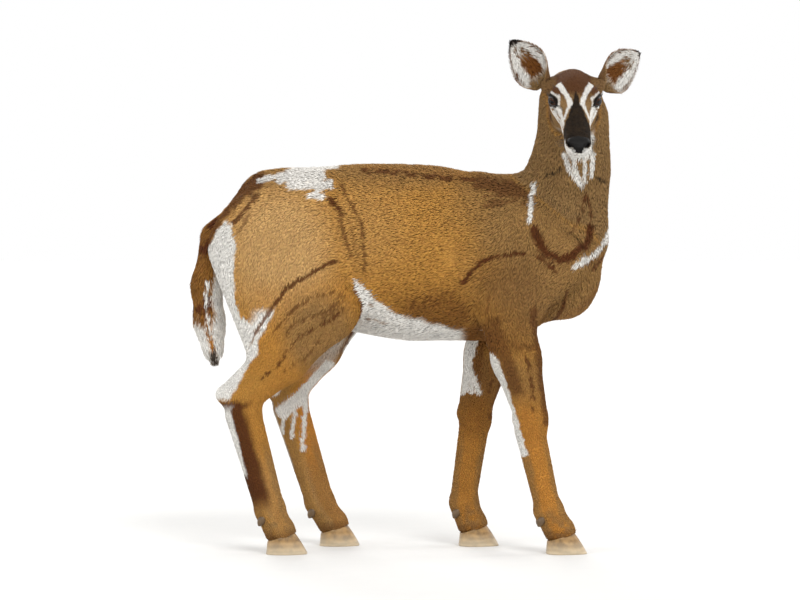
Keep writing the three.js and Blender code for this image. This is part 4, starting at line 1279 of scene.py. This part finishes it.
def flesh_nodes():
    """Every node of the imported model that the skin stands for."""
    kept = ("eye", "hoof", "dewclaw")
    return [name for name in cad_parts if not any(word in name for word in kept)]


class Skin:
    """The doe's skin over the body, and what the coat needs to know at each point."""

    def __init__(self):
        axes = skin_axes()
        points, faces = surface_net(Flesh(axes=axes).skin, axes)
        points = settle(points)
        self.normals = unit(outward(points))
        self.points, self.faces = points, faces
        self.lie, self.regions = coat_at(points)


skin_cache = []


def the_skin():
    if not skin_cache:
        skin_cache.append(Skin())
    return skin_cache[0]


def ear_markings(name, along, across, inner, points):
    """Colours of an ear; inner is 1 inside the ear and 0 on its back."""
    markings = Markings(points, {region: np.zeros(len(points)) for region in COAT})
    markings.ear(np.ones(len(points)), inner, along, across, EAR_TIP[name])
    return markings.colours()


def build_skin():
    """One closed skin over the whole body, with the ears joined in."""
    skin = the_skin()
    points, faces = [skin.points], [skin.faces]
    body = Markings(skin.points, skin.regions).colours()
    tones, marks = [body[0]], [body[1]]
    rows, columns = 38, 25
    for name in SIDES:
        ear_points, ear_faces = ear_mesh(name, rows, columns)
        faces.append(ear_faces + sum(len(p) for p in points))
        points.append(ear_points)
        along, across = ear_grid(rows, columns)
        inner = np.repeat([1.0, 0.0], rows * columns)
        colours = ear_markings(name, np.tile(along.ravel(), 2), np.tile(across.ravel(), 2), inner, ear_points)
        tones.append(colours[0])
        marks.append(colours[1])
    points, faces = np.concatenate(points), np.concatenate(faces)
    piece = new_piece("skin", points, faces, ["skin", "nose", "lid"])
    hold_markings(piece, np.concatenate(tones), np.concatenate(marks))
    middles = points[faces].mean(1)
    bare = bare_share(middles)
    nose = nose_share(middles)
    finish = np.where(nose > 0.5, 1, np.where(bare > 0.5, 2, 0)).astype(np.int32)
    piece.data.polygons.foreach_set("material_index", finish)
    enter(piece, "body_coat", *flesh_nodes())


# ---------------------------------------------------------------- coat
def scatter(points, faces, spacing, rng):
    """Roots spread evenly over a mesh: face numbers and the shares of each face's first three corners."""
    a, b, c, d = (points[faces[:, i]] for i in range(4))
    halves = [(0, 1, 2), (0, 2, 3)]
    areas = np.concatenate([np.linalg.norm(np.cross(b - a, c - a), axis=1),
                            np.linalg.norm(np.cross(c - a, d - a), axis=1)]) / 2
    corner = np.concatenate([faces[:, h] for h in halves])
    order = np.arange(len(areas)).reshape(2, -1).T.ravel()
    areas, corner = areas[order], corner[order]
    wanted = np.cumsum(areas / spacing[corner].mean(1) ** 2)
    count = int(wanted[-1])
    at = (np.arange(count) + rng.random(count)) * wanted[-1] / count
    face = np.minimum(np.searchsorted(wanted, at), len(areas) - 1)
    first, second = rng.random(count), rng.random(count)
    fold = first + second > 1
    first, second = np.where(fold, 1 - first, first), np.where(fold, 1 - second, second)
    shares = np.stack([1 - first - second, first, second], 1)
    return corner[face], shares


def lay_down(vectors, normals):
    """Vectors turned into the surface's own plane."""
    return unit(vectors - normals * (vectors * normals).sum(1, keepdims=True))


def turned(vectors, normals, angle):
    side = np.cross(normals, vectors)
    return vectors * np.cos(angle)[:, None] + side * np.sin(angle)[:, None]


def tuft_points(root, normal, lie, length, width, lift, rings):
    """Points of every tuft: its root, one or two three-sided rings, and its tip."""
    side = np.cross(normal, lie)
    shares = [0.5] if rings == 1 else [0.34, 0.7]
    fullness = [1.0] if rings == 1 else [1.0, 0.8]
    parts = [root - 0.5 * normal]
    for share, full in zip(shares, fullness):
        height = lift * (1 - (1 - share) ** 1.6)
        middle = root + lie * (length * share)[:, None] + normal * height[:, None]
        half = side * (width * full / 2)[:, None]
        parts += [middle - half, middle + half, middle + normal * (0.22 * width * full)[:, None]]
    parts.append(root + lie * length[:, None] + normal * lift[:, None])
    return np.stack(parts, 1)


TUFT_FACES = {
    1: [(0, 3, 1), (0, 2, 3), (0, 1, 2), (4, 1, 3), (4, 3, 2), (4, 2, 1)],
    2: [(0, 3, 1), (0, 2, 3), (0, 1, 2), (1, 3, 6), (1, 6, 4), (3, 2, 5), (3, 5, 6), (2, 1, 4), (2, 4, 5),
        (7, 4, 6), (7, 6, 5), (7, 5, 4)],
}
PATCH = 0.003  # how wide a tuft's own patch is on the coat's unwrap
PATCH_PLACES = {1: [(0, 0.5), (0.5, 0), (0.5, 1), (0.5, 0.5), (1, 0.5)],
                2: [(0, 0.5), (0.34, 0), (0.34, 1), (0.34, 0.5), (0.7, 0), (0.7, 1), (0.7, 0.5), (1, 0.5)]}
ALONG = {1: [0, 0.5, 0.5, 0.5, 1], 2: [0, 0.34, 0.34, 0.34, 0.7, 0.7, 0.7, 1]}


def coat_piece(name, tufts, rings, tones, marks, unwrap, rng, slot):
    """One joined mesh of tufts, with their markings, their own shades and their places on the unwrap."""
    count, size = tufts.shape[:2]
    faces = (np.array(TUFT_FACES[rings])[None] + (np.arange(count) * size)[:, None, None]).reshape(-1, 3)
    piece = new_piece(name, tufts.reshape(-1, 3), faces, ["fur"])
    hold_markings(piece, np.repeat(tones, size, axis=0), np.repeat(marks, size, axis=0))
    shade = rng.random(count)
    along = np.tile(ALONG[rings], count)
    hold(piece, "strand", np.stack([along, np.repeat(shade, size), along * 0], 1))
    places = unwrap[:, None] * (1 - PATCH) + PATCH * np.array(PATCH_PLACES[rings])[None]
    layer = piece.data.uv_layers.new(name="OFBake")
    layer.uv.foreach_set("vector", places.reshape(-1, 2)[faces.ravel()].astype(np.float32).ravel())
    enter(piece, slot)
    return piece


def round_unwrap(points, spine):
    """Places on a tube round a spine: the angle round it, and the distance along it."""
    spine = np.asarray(spine, float)
    runs = np.diff(spine, axis=0)
    sizes = np.linalg.norm(runs, axis=1)
    before = np.concatenate([[0], np.cumsum(sizes)[:-1]])
    best = np.full(len(points), 1e9)
    place = np.zeros((len(points), 2))
    across = unit(np.cross(spine[-1] - spine[0], LEFT if abs(unit(runs[0])[1]) < 0.8 else UP))
    for start, run, size, way in zip(spine, runs, sizes, before):
        t = np.clip((points - start) @ run / size ** 2, 0, 1)
        away = points - start - t[:, None] * run
        far = np.linalg.norm(away, axis=1)
        second = unit(np.cross(run, across))
        angle = np.arctan2(away @ second, away @ np.cross(second, unit(run))) / (2 * np.pi) + 0.5
        nearer = far < best
        best[nearer] = far[nearer]
        place[nearer] = np.stack([angle, (way + t * size) / sizes.sum()], 1)[nearer]
    return place


# Each coat piece: the finish slot and the spine that its unwrap goes round.
TRUNK_SPINE = [(-470, 0, 735), (490, 0, 735)]
COAT_PIECES = {
    "coat_head": ("face_coat", [head_point(-30, 0, 10), head_point(280, 0, -10)]),
    "coat_neck": ("neck_coat", [(340, 0, 760), (404, 0, 935), (421, 2, 1130)]),
    "coat_tail": ("tail_coat", TAIL_SPINE),
}
for side in SIDES:
    for part in ("rump", "barrel", "chest"):
        COAT_PIECES[f"coat_{part}_{side}"] = ("body_coat", TRUNK_SPINE)
    for part in ("foreleg", "hindleg"):
        joints = JOINTS[f"{part}_{side}"]
        COAT_PIECES[f"coat_{part}_{side}"] = ("leg_coat", [joints[0] + (0, 0, 60)] + joints)


def piece_names(points, regions):
    """The coat piece that each root belongs to."""
    x, y, z = points.T
    side = np.where(y < 0, "right", "left")
    part = np.where(x < -170, "rump", np.where(x < 150, "barrel", "chest"))
    leg = (z < 560) & (regions["upper"] + regions["limb"] + regions["foot"] > 0.5)
    part = np.where(leg, np.where(x > 20, "foreleg", "hindleg"), part)
    names = np.char.add(np.char.add("coat_", np.char.add(part, "_")), side)
    names = np.where(regions["neck"] > 0.5, "coat_neck", names)
    names = np.where(regions["tail"] > 0.5, "coat_tail", names)
    return np.where(regions["head"] + regions["crown"] + regions["muzzle"] > 0.5, "coat_head", names)


def eye_gap(points):
    """Distance from the nearer eye's opening."""
    gaps = []
    for s in SIDES.values():
        far = np.linalg.norm(points - eye_centre(s), axis=1)
        gaps.append(np.where(far < 60, np.maximum(lid_gap(s)(points), 0), 60))
    return np.minimum(*gaps)


def build_coat():
    """Tufts over the whole skin but the bare nose and lids, each lying the way the hair grows."""
    skin, look = the_skin(), bpy.context.scene.deer_coat
    rng = np.random.default_rng(look.seed)
    spacing = by_region(skin.regions, SPACE) * look.spacing
    spacing = spacing * (0.72 + 0.28 * rise(eye_gap(skin.points), 4, 26))  # closer round the eyes
    corner, shares = scatter(skin.points, skin.faces, spacing, rng)

    def between(values):
        return np.einsum("nk,nk...->n...", shares, values[corner])

    root = between(skin.points)
    regions = {name: between(share) for name, share in skin.regions.items()}
    gap = eye_gap(root)
    keep = (bare_share(root) < 0.3) & (root[:, 2] > 30) & (gap > 1.2)
    root, gap, normal, lie = root[keep], gap[keep], unit(between(skin.normals))[keep], between(skin.lie)[keep]
    regions = {name: share[keep] for name, share in regions.items()}
    count = len(root)
    # The tail's tip hangs free.
    end = rise((lie * normal).sum(1), 0.55, 0.85) * rise(regions["tail"], 0.4, 0.7)
    angle = 0.20 * noise(root, 16, 30) + 0.12 * rng.standard_normal(count)
    flat = turned(lay_down(lie, normal), normal, angle)
    lie = unit(mix(flat, lie, end[:, None]))
    length = by_region(regions, LENGTH) * look.length * rng.uniform(0.75, 1.2, count)
    length = np.minimum(length, 1.0 + 0.85 * gap) * (1 - 0.45 * end)
    width = by_region(regions, WIDTH) * look.width * rng.uniform(0.8, 1.2, count)
    uneven = 0.8 + 0.18 * noise(root, 7, 31) + 0.14 * rng.standard_normal(count)
    height = by_region(regions, DEPTH) * np.minimum(1, length / 5) * uneven
    lift = np.maximum(height, 0.3) * (1 - end)
    for _ in range(2):  # the tip stands at its height over a skin that curves away
        tip = root + lie * length[:, None] + normal * lift[:, None]
        lift = lift + (1 - end) * np.clip(height - skin_value(tip), -6, 6)
    tones, marks = Markings(root, regions).colours()
    names = piece_names(root, regions)
    for name, (slot, spine) in COAT_PIECES.items():
        mine = names == name
        rings = 2 if name == "coat_tail" else 1
        tufts = tuft_points(root[mine], normal[mine], lie[mine], length[mine], width[mine], lift[mine], rings)
        coat_piece(name, tufts, rings, tones[mine], marks[mine], round_unwrap(root[mine], spine), rng, slot)


def ear_tufts(name, rng):
    """Short hair on the back of an ear, long pale hair inside it, and a fringe along its rim."""
    rows, columns = 40, 25
    along, across = ear_grid(rows, columns, 0.01)
    parts = []
    for layer, spacing, size, wide, rise_by, low, high in (
            (0.85, 2.1, 8, 1.8, 1.6, -1, 1), (0.15, 2.6, 15, 1.8, 4.5, -1, 1),
            (0.5, 1.0, 9, 1.5, 2.0, 0.93, 1), (0.5, 1.0, 9, 1.5, 2.0, -1, -0.93)):
        spread = low + (across + 1) / 2 * (high - low)
        grid = ear_point(name, along, spread, layer).reshape(-1, 3)
        corner, shares = scatter(grid, sheet_faces(rows, columns), np.full(len(grid), spacing), rng)
        t = (shares * along.ravel()[corner]).sum(1)
        c = (shares * spread.ravel()[corner]).sum(1)
        root = ear_point(name, t, c, layer)
        out = unit(ear_point(name, t, c, 1.0) - ear_point(name, t, c, 0.0)) * (1 if layer >= 0.5 else -1)
        ahead = unit(ear_point(name, np.minimum(t + 0.02, 1), c, layer) - root)
        lean = unit(ear_point(name, t, np.clip(c + 0.05 * np.sign(c), -1.05, 1.05), layer) - root)
        if high - low < 1:
            out, ahead = lean, unit(ahead + 0.55 * lean)
        elif layer < 0.5:
            ahead = unit(ahead - 0.5 * np.abs(c)[:, None] * lean + 0.25 * out)
        length = size * (0.45 + 0.55 * np.sin(np.pi * np.clip(t + 0.06, 0, 1)))
        length = length * rng.uniform(0.7, 1.25, len(t))
        normal = lay_down(out, ahead)
        ahead = turned(ahead, normal, 0.15 * rng.standard_normal(len(t)))
        lift = rise_by * rng.uniform(0.5, 1.2, len(t)) * length / size
        width = wide * rng.uniform(0.8, 1.2, len(t))
        points = tuft_points(root, normal, ahead, length, width, lift, 1)
        inner = np.full(len(t), 1.0 if layer < 0.5 else 0.0 if layer > 0.5 else 0.6)
        tones, marks = ear_markings(name, t, c, inner, root)
        place = np.stack([(c + 1) / 4 + 0.5 * (layer > 0.5), t], 1)
        parts.append((points, tones, marks, np.clip(place, 0, 1)))
    tufts, tones, marks, places = (np.concatenate(values) for values in zip(*parts))
    coat_piece(f"coat_ear_{name}", tufts, 1, tones, marks, places, rng, "ear_coat")


# ---------------------------------------------------------------- eyes and lids
def ball_points(rows, columns):
    """Points of a ball in rings from the front pole to the back one, with both poles."""
    polar = np.linspace(0, np.pi, rows)[1:-1]
    turn = np.arange(columns) * 2 * np.pi / columns
    polar, turn = np.meshgrid(polar, turn, indexing="ij")
    ring = np.stack([np.sin(polar) * np.cos(turn), np.sin(polar) * np.sin(turn), np.cos(polar)], -1)
    return np.vstack([ring.reshape(-1, 3), [(0, 0, 1), (0, 0, -1)]])


def ring_faces(rings, columns, closed=True):
    """Faces between rings of points, closed round each ring, and round the whole where it is a loop."""
    i, k = np.meshgrid(np.arange(rings if closed else rings - 1), np.arange(columns), indexing="ij")
    i, k = i.ravel(), k.ravel()
    after, beside = (i + 1) % rings, (k + 1) % columns
    return np.stack([i * columns + k, i * columns + beside, after * columns + beside, after * columns + k], 1)


def cap_faces(start, columns, middle, flip):
    k = np.arange(columns)
    fan = np.stack([start + k, start + (k + 1) % columns, np.full(columns, middle)], 1)
    return fan[:, ::-1] if flip else fan


def outward_faces(points, faces):
    """The same faces, turned so that the closed shape has them outside."""
    total = sum(volume(points, part) for part in faces)
    return [part[:, ::-1] for part in faces] if total < 0 else faces


def tube_faces(points, rings, columns):
    """Faces of rings of points closed at both ends, where the two end points come last."""
    last = rings * columns
    return outward_faces(points, [
        ring_faces(rings, columns, False), cap_faces(0, columns, last, True),
        cap_faces(last - columns, columns, last + 1, False)])


def build_eyes():
    """Two wet eyes with a raised cornea over the iris."""
    for name, s in SIDES.items():
        rings, columns = 49, 64
        ball = ball_points(rings, columns)
        bulge = 1 + 0.06 * np.exp(-(np.arccos(np.clip(ball[:, 2], -1, 1)) / 0.52) ** 2)
        points = eye_centre(s) + EYE_RADIUS * (ball * bulge[:, None]) @ eye_axes(s)
        piece = new_piece(f"eye_ball_{name}", points, tube_faces(points, rings - 2, columns), ["eye"])
        hold(piece, "gaze", ball)
        enter(piece, "eye", f"eye_{name}")


def lid_loop(radius, out, count=96):
    """Points round the opening between the lids, on a sphere about the eye."""
    turn = np.linspace(0, 2 * np.pi, count, endpoint=False)
    along = LID_HALF_LENGTH * np.cos(turn)
    upper, lower = lid_edge(along)
    high = np.where(np.sin(turn) >= 0, upper + out, lower - out)
    along = along * (1 + out / LID_HALF_LENGTH)
    deep = np.sqrt(np.maximum(radius ** 2 - along ** 2 - high ** 2, 1))
    return np.stack([along, high, deep], 1)


def build_lids():
    """A soft dark rim round each eye."""
    for name, s in SIDES.items():
        high, wide, corners = 1.3, 2.1, 14
        path = lid_loop(EYE_RADIUS + high, 0.9)
        ahead = unit(np.roll(path, -1, axis=0) - np.roll(path, 1, axis=0))
        out = unit(path)
        side = np.cross(ahead, out)
        turn = (np.arange(corners) * 2 * np.pi / corners)[None, :, None]
        ring = np.cos(turn) * out[:, None] * high + np.sin(turn) * side[:, None] * wide
        points = eye_centre(s) + (path[:, None] + ring).reshape(-1, 3) @ eye_axes(s)
        faces = outward_faces(points, [ring_faces(len(path), corners)])
        enter(new_piece(f"lid_rim_{name}", points, faces, ["lid"]), "nose_skin")


# ---------------------------------------------------------------- hooves
def half_hoof(coronet, away):
    """One half of a cloven hoof: a flat sole, a flat inner wall, a curved outer wall and a pointed toe."""
    columns, rings = 48, 12
    turn = np.arange(columns) * 2 * np.pi / columns
    share = 0.5 - 0.5 * np.cos(np.linspace(0, np.pi, rings))
    up, turn = np.meshgrid(share, turn, indexing="ij")
    x, z = np.sin(turn), np.cos(turn)
    (sole_heel, top_heel), (sole_tip, top_tip) = HOOF["heel"], HOOF["tip"]
    along = mix(mix(sole_heel, top_heel, up), mix(sole_tip, top_tip, up), (x + 1) / 2)
    bulge = np.where(z < 0, 0.22 + 0.78 * np.abs(z) * (1 - 0.22 * x), 0.22 * (1 - np.abs(z)))
    width = mix(*HOOF["width"], up) * bulge + HOOF["cleft"] / 2
    tall = HOOF_TOP - 0.3 + HOOF_SLOPE * along
    ring = np.stack([along, away * width, up * tall], -1)
    middle = ring.mean(1, keepdims=True)
    ring[[0, -1]] = middle[[0, -1]] + 0.94 * (ring[[0, -1]] - middle[[0, -1]])  # worn edges
    points = np.vstack([ring.reshape(-1, 3), middle[0] + (0, 0, 1.5), middle[-1]]) + coronet * (1, 1, 0)
    return points, tube_faces(points, rings, columns)


def dewclaw(fetlock, away):
    """A small blunt claw behind the pastern."""
    rings, columns = 17, 24
    ball = ball_points(rings, columns)
    pointed = 1 - 0.28 * np.clip(-ball[:, 2], 0, 1) ** 2
    points = ball * DEWCLAW["half"] * np.stack([pointed, pointed, pointed * 0 + 1], 1)
    turn = DEWCLAW["tilt"]
    tilt = np.array([[math.cos(turn), 0, -math.sin(turn)], [0, 1, 0], [math.sin(turn), 0, math.cos(turn)]])
    points = points @ tilt + fetlock + (-DEWCLAW["back"], away * DEWCLAW["spread"], -DEWCLAW["drop"])
    return points, tube_faces(points, rings - 2, columns)


def build_hooves():
    """Two half hooves and two dewclaws on each foot."""
    for leg, joints in JOINTS.items():
        s = side_of(leg)
        for place, away in (("outer", s), ("inner", -s)):
            for kind, (points, faces) in (("hoof", half_hoof(joints[-1], away)),
                                          ("dewclaw", dewclaw(joints[-2], away))):
                piece = new_piece(f"{leg}_{kind}_{place}_horn", points, faces, ["horn"])
                enter(piece, "horn", f"{leg}_{kind}_{place}")


# ---------------------------------------------------------------- whiskers and lashes
def bristle_tree():
    """Nodes that set a thin bent cone on every point, along its own aim and of its own length."""
    tree = bpy.data.node_groups.new("bristles on points", "GeometryNodeTree")
    face = tree.interface
    for name, kind in (("Geometry", "Geometry"), ("Root Radius", "Float"), ("Bend", "Float"),
                       ("Material", "Material")):
        face.new_socket(name, in_out="INPUT", socket_type="NodeSocket" + kind)
    face.new_socket("Geometry", in_out="OUTPUT", socket_type="NodeSocketGeometry")
    entry, out = node(tree, "NodeGroupInput"), node(tree, "NodeGroupOutput")
    cone = node(tree, "GeometryNodeMeshCone", {"Vertices": 5, "Side Segments": 5, "Radius Top": 0.1,
                                               "Radius Bottom": 1.0, "Depth": 1.0})
    place = node(tree, "GeometryNodeInputPosition").outputs[0]
    height = node(tree, "ShaderNodeSeparateXYZ", {"Vector": place})
    marked = node(tree, "GeometryNodeStoreNamedAttribute", {"Geometry": cone.outputs["Mesh"], "Name": "share",
                                                            "Value": height.outputs["Z"]}, data_type="FLOAT")
    share, aim, curl = (
        node(tree, "GeometryNodeInputNamedAttribute", {"Name": name}, data_type=kind).outputs[0]
        for name, kind in (("share", "FLOAT"), ("aim", "FLOAT_VECTOR"), ("curl", "FLOAT_VECTOR")))
    reach = size_of(tree, aim)
    turn = node(tree, "FunctionNodeAlignRotationToVector", {"Vector": aim}, axis="Z")
    radius = entry.outputs["Root Radius"]
    size = node(tree, "ShaderNodeCombineXYZ", {"X": radius, "Y": radius, "Z": reach})
    placed = node(tree, "GeometryNodeInstanceOnPoints", {
        "Points": entry.outputs["Geometry"], "Instance": marked.outputs["Geometry"],
        "Rotation": turn.outputs[0], "Scale": size.outputs[0]})
    real = node(tree, "GeometryNodeRealizeInstances", {"Geometry": placed.outputs[0]})
    bent = reckoned(tree, "MULTIPLY", reckoned(tree, "POWER", share, 2.0), entry.outputs["Bend"])
    moved = node(tree, "ShaderNodeVectorMath", {0: curl, "Scale": bent}, operation="SCALE").outputs[0]
    shaped = node(tree, "GeometryNodeSetPosition", {"Geometry": real.outputs[0], "Offset": moved})
    painted = node(tree, "GeometryNodeSetMaterial", {"Geometry": shaped.outputs[0],
                                                     "Material": entry.outputs["Material"]})
    tree.links.new(painted.outputs[0], out.inputs["Geometry"])
    return tree


def bristles(name, tree, roots, aims, curls, radius):
    """Bristles as one plain mesh; roots, aims and curls are in millimetres."""
    host = new_piece(name + "_roots", roots, [np.zeros((0, 3), int)], [])
    hold(host, "aim", aims / 1000)
    hold(host, "curl", curls / 1000)
    modifier = host.modifiers.new("bristles", "NODES")
    modifier.node_group = tree
    names = {item.name: item.identifier for item in tree.interface.items_tree if item.in_out == "INPUT"}
    modifier[names["Root Radius"]] = radius / 1000
    modifier[names["Bend"]] = 1.0
    modifier[names["Material"]] = finish_of("bristle")
    bpy.context.view_layer.update()
    graph = bpy.context.evaluated_depsgraph_get()
    mesh = bpy.data.meshes.new_from_object(host.evaluated_get(graph))
    host.modifiers.remove(modifier)
    bpy.data.objects.remove(host)
    piece = bpy.data.objects.new(name, mesh)
    bpy.context.scene.collection.objects.link(piece)
    enter(piece, "nose_skin")


def build_whiskers():
    """Lashes on the upper lids, and whiskers on the lips, the chin and over the eyes."""
    tree = bristle_tree()
    rng = np.random.default_rng(11)
    for name, s in SIDES.items():
        loop = lid_loop(EYE_RADIUS + 2.6, 1.6, 120)
        lash = loop[6:54:2]
        away = unit(lash * (0.9, 1.4, 0.55) + (-2, 5, 0))
        size = 9 + 4 * np.sin(np.linspace(0.3, 2.9, len(lash))) + rng.uniform(-1, 1, len(lash))
        axes = eye_axes(s)
        roots = eye_centre(s) + (lash * 0.985) @ axes
        bristles(f"lashes_{name}", tree, roots, (away * size[:, None]) @ axes,
                 ((0, 1, -0.4) * size[:, None] * 0.35) @ axes, 0.45)
        spots = [(248 - 9 * i, s * (22 + 1.2 * i), -14 + 6 * k - 1.5 * i) for i in range(6) for k in range(3)]
        spots += [(246 - 8 * i, s * (12 + 2 * i), -33) for i in range(5)]
        spots += [(88 + 4 * i, s * 47, 55 + i) for i in range(3)]
        roots = np.array([head_point(*spot) for spot in spots]) + rng.uniform(-1.5, 1.5, (len(spots), 3))
        for _ in range(4):
            value = skin_value(roots)
            roots = roots - unit(outward(roots, value)) * value[:, None]
        out = unit(outward(roots))
        aim = unit(out + 0.5 * -HEAD_AXES[0] + rng.uniform(-0.2, 0.2, out.shape))
        size = rng.uniform(12, 30, len(roots))
        bristles(f"whiskers_{name}", tree, roots - 0.5 * out, aim * size[:, None],
                 -UP * size[:, None] * 0.25, 0.4)


# ---------------------------------------------------------------- stage
def build_stage():
    """A pale paper floor, soft lamps all round and the camera."""
    scene, look = bpy.context.scene, bpy.context.scene.deer_stage
    corners = FLOOR_REACH * vec(-1, -1, 0, 1, -1, 0, 1, 1, 0, -1, 1, 0).reshape(4, 3) - SHIFT
    new_piece("floor", corners, [(0, 1, 2, 3)], ["floor"])
    world = bpy.data.worlds.new("studio air")
    scene.world = world
    world.use_nodes = True
    back = world.node_tree.nodes["Background"]
    back.inputs["Color"].default_value = ink("#ffffff")
    back.inputs["Strength"].default_value = look.air
    for name, towards, power in (
        ("key", (-0.35, 0.75, -0.75), 1.2), ("fill", (0.9, 0.6, -0.45), 0.5),
        ("rim", (0.3, -0.9, -0.6), 0.8), ("side", (-0.9, -0.3, -0.5), 0.5),
    ):
        data = bpy.data.lights.new(name, "SUN")
        data.angle, data.energy = look.softness, power * look.lamps
        lamp = bpy.data.objects.new(name, data)
        lamp.rotation_euler = Vector(towards).to_track_quat("-Z", "Y").to_euler()
        scene.collection.objects.link(lamp)
    data = bpy.data.cameras.new("camera")
    data.sensor_width, data.lens = SENSOR * 1000, look.lens * 1000
    data.clip_end = 200
    camera = bpy.data.objects.new("camera", data)
    scene.collection.objects.link(camera)
    target = Vector(to_row((look.aim_forward * 1000, 0, look.aim_height * 1000)))
    away = look.width * look.lens / SENSOR
    tilt = look.elevation
    camera.location = target + away * Vector((0, -math.cos(tilt), math.sin(tilt)))
    camera.rotation_euler = (target - camera.location).to_track_quat("-Z", "Y").to_euler()
    scene.camera = camera
    scene.view_settings.view_transform = "Standard"


# ---------------------------------------------------------------- add-on
def tone_property(name, description, code):
    return FloatVectorProperty(name=name, description=description, subtype="COLOR", size=3, min=0, max=1,
                               default=paint(code))


def share_property(name, description, low=0, **others):
    return FloatProperty(name=name, description=description, default=1.0, min=low, **others)


def length_property(name, description, metres):
    return FloatProperty(name=name, description=description, subtype="DISTANCE", unit="LENGTH",
                         default=metres)


def angle_property(name, description, degrees):
    return FloatProperty(name=name, description=description, subtype="ANGLE", unit="ROTATION",
                         default=math.radians(degrees))


class DeerColours(bpy.types.PropertyGroup):
    """Colours of the coat."""
    tan: tone_property("Tan", "Ground colour of the body", "#bd893f")
    pale: tone_property("Pale", "Light fur of the haunches", "#d3aa70")
    warm: tone_property("Warm", "Bright fur on the legs", "#c98a3c")
    grey: tone_property("Grey", "Grey-brown fur of the neck and shoulders", "#92734a")
    # The dark tone also paints shade in the folds: at the armpit and behind the elbow.
    dark: tone_property("Dark", "Dark red-brown fur of the brow and tail, and painted shade in the folds", "#5a3015")
    black: tone_property("Black", "Black-brown fur of the muzzle and the ear tips", "#1a120c")
    white: tone_property("White", "White fur of the belly, throat and tail", "#efece6")


class DeerCoat(bpy.types.PropertyGroup):
    """How thick the coat grows."""
    spacing: share_property("Spacing", "Space between tufts, as a share of the breed's", 0.7, max=3)
    length: share_property("Length", "Length of the tufts, as a share of the breed's", 0.3, max=2)
    width: share_property("Width", "Width of the tufts, as a share of the breed's", 0.3, max=2)
    seed: IntProperty(name="Seed", description="Which scatter of tufts is grown", default=4)


class DeerStage(bpy.types.PropertyGroup):
    """The studio."""
    lens: length_property("Lens", "Focal length", 0.119)
    width: length_property("View width", "Width seen at the doe", 1.96)
    aim_forward: length_property("Aim forward", "Where the camera aims along the doe", 0.0)
    aim_height: length_property("Aim height", "How high the camera aims", 0.6125)
    elevation: angle_property("Elevation", "How far the camera looks down", 1.5)
    air: share_property("Air light", "Strength of the light from all round")
    softness: angle_property("Softness", "How wide each lamp is, seen from the doe", 24)
    lamps: share_property("Lamps", "Strength of the studio lamps")


class DEER_OT_skin(bpy.types.Operator):
    """Build the skin with its ears, nose and markings"""
    bl_idname = "deer.skin"
    bl_label = "Skin"

    def execute(self, context):
        build_skin()
        return {"FINISHED"}


class DEER_OT_eyes(bpy.types.Operator):
    """Build the eyes and the rims of their lids"""
    bl_idname = "deer.eyes"
    bl_label = "Eyes and lids"

    def execute(self, context):
        build_eyes()
        build_lids()
        return {"FINISHED"}


class DEER_OT_hooves(bpy.types.Operator):
    """Build the hooves and dewclaws"""
    bl_idname = "deer.hooves"
    bl_label = "Hooves"

    def execute(self, context):
        build_hooves()
        return {"FINISHED"}


class DEER_OT_coat(bpy.types.Operator):
    """Grow the coat on the skin"""
    bl_idname = "deer.coat"
    bl_label = "Coat"

    def execute(self, context):
        build_coat()
        return {"FINISHED"}


class DEER_OT_ears(bpy.types.Operator):
    """Grow the hair of the ears"""
    bl_idname = "deer.ears"
    bl_label = "Ear hair"

    def execute(self, context):
        rng = np.random.default_rng(context.scene.deer_coat.seed + 1)
        for name in SIDES:
            ear_tufts(name, rng)
        return {"FINISHED"}


class DEER_OT_whiskers(bpy.types.Operator):
    """Set lashes and whiskers"""
    bl_idname = "deer.whiskers"
    bl_label = "Whiskers and lashes"

    def execute(self, context):
        build_whiskers()
        return {"FINISHED"}


class DEER_OT_stage(bpy.types.Operator):
    """Set the floor, the lamps and the camera"""
    bl_idname = "deer.stage"
    bl_label = "Studio"

    def execute(self, context):
        build_stage()
        return {"FINISHED"}


OPERATORS = (DEER_OT_stage, DEER_OT_skin, DEER_OT_eyes, DEER_OT_hooves, DEER_OT_coat, DEER_OT_ears,
             DEER_OT_whiskers)
GROUPS = {"deer_colours": DeerColours, "deer_coat": DeerCoat, "deer_stage": DeerStage}


class DEER_PT_panel(bpy.types.Panel):
    """Everything the doe is made of"""
    bl_idname = "DEER_PT_panel"
    bl_label = "White-tailed deer doe"
    bl_space_type = "VIEW_3D"
    bl_region_type = "UI"
    bl_category = "Deer"

    def draw(self, context):
        for group in GROUPS:
            box = self.layout.box()
            for name in getattr(context.scene, group).__annotations__:
                box.prop(getattr(context.scene, group), name)
        for operator in OPERATORS:
            self.layout.operator(operator.bl_idname)


def register():
    for group in (*GROUPS.values(), *OPERATORS, DEER_PT_panel):
        bpy.utils.register_class(group)
    for name, group in GROUPS.items():
        setattr(bpy.types.Scene, name, PointerProperty(type=group))


def unregister():
    for name in GROUPS:
        delattr(bpy.types.Scene, name)
    for group in (DEER_PT_panel, *OPERATORS[::-1], *list(GROUPS.values())[::-1]):
        bpy.utils.unregister_class(group)


def main():
    register()
    for operator in OPERATORS:
        getattr(bpy.ops.deer, operator.bl_idname.split(".")[1])()


if __name__ == "__main__":
    main()
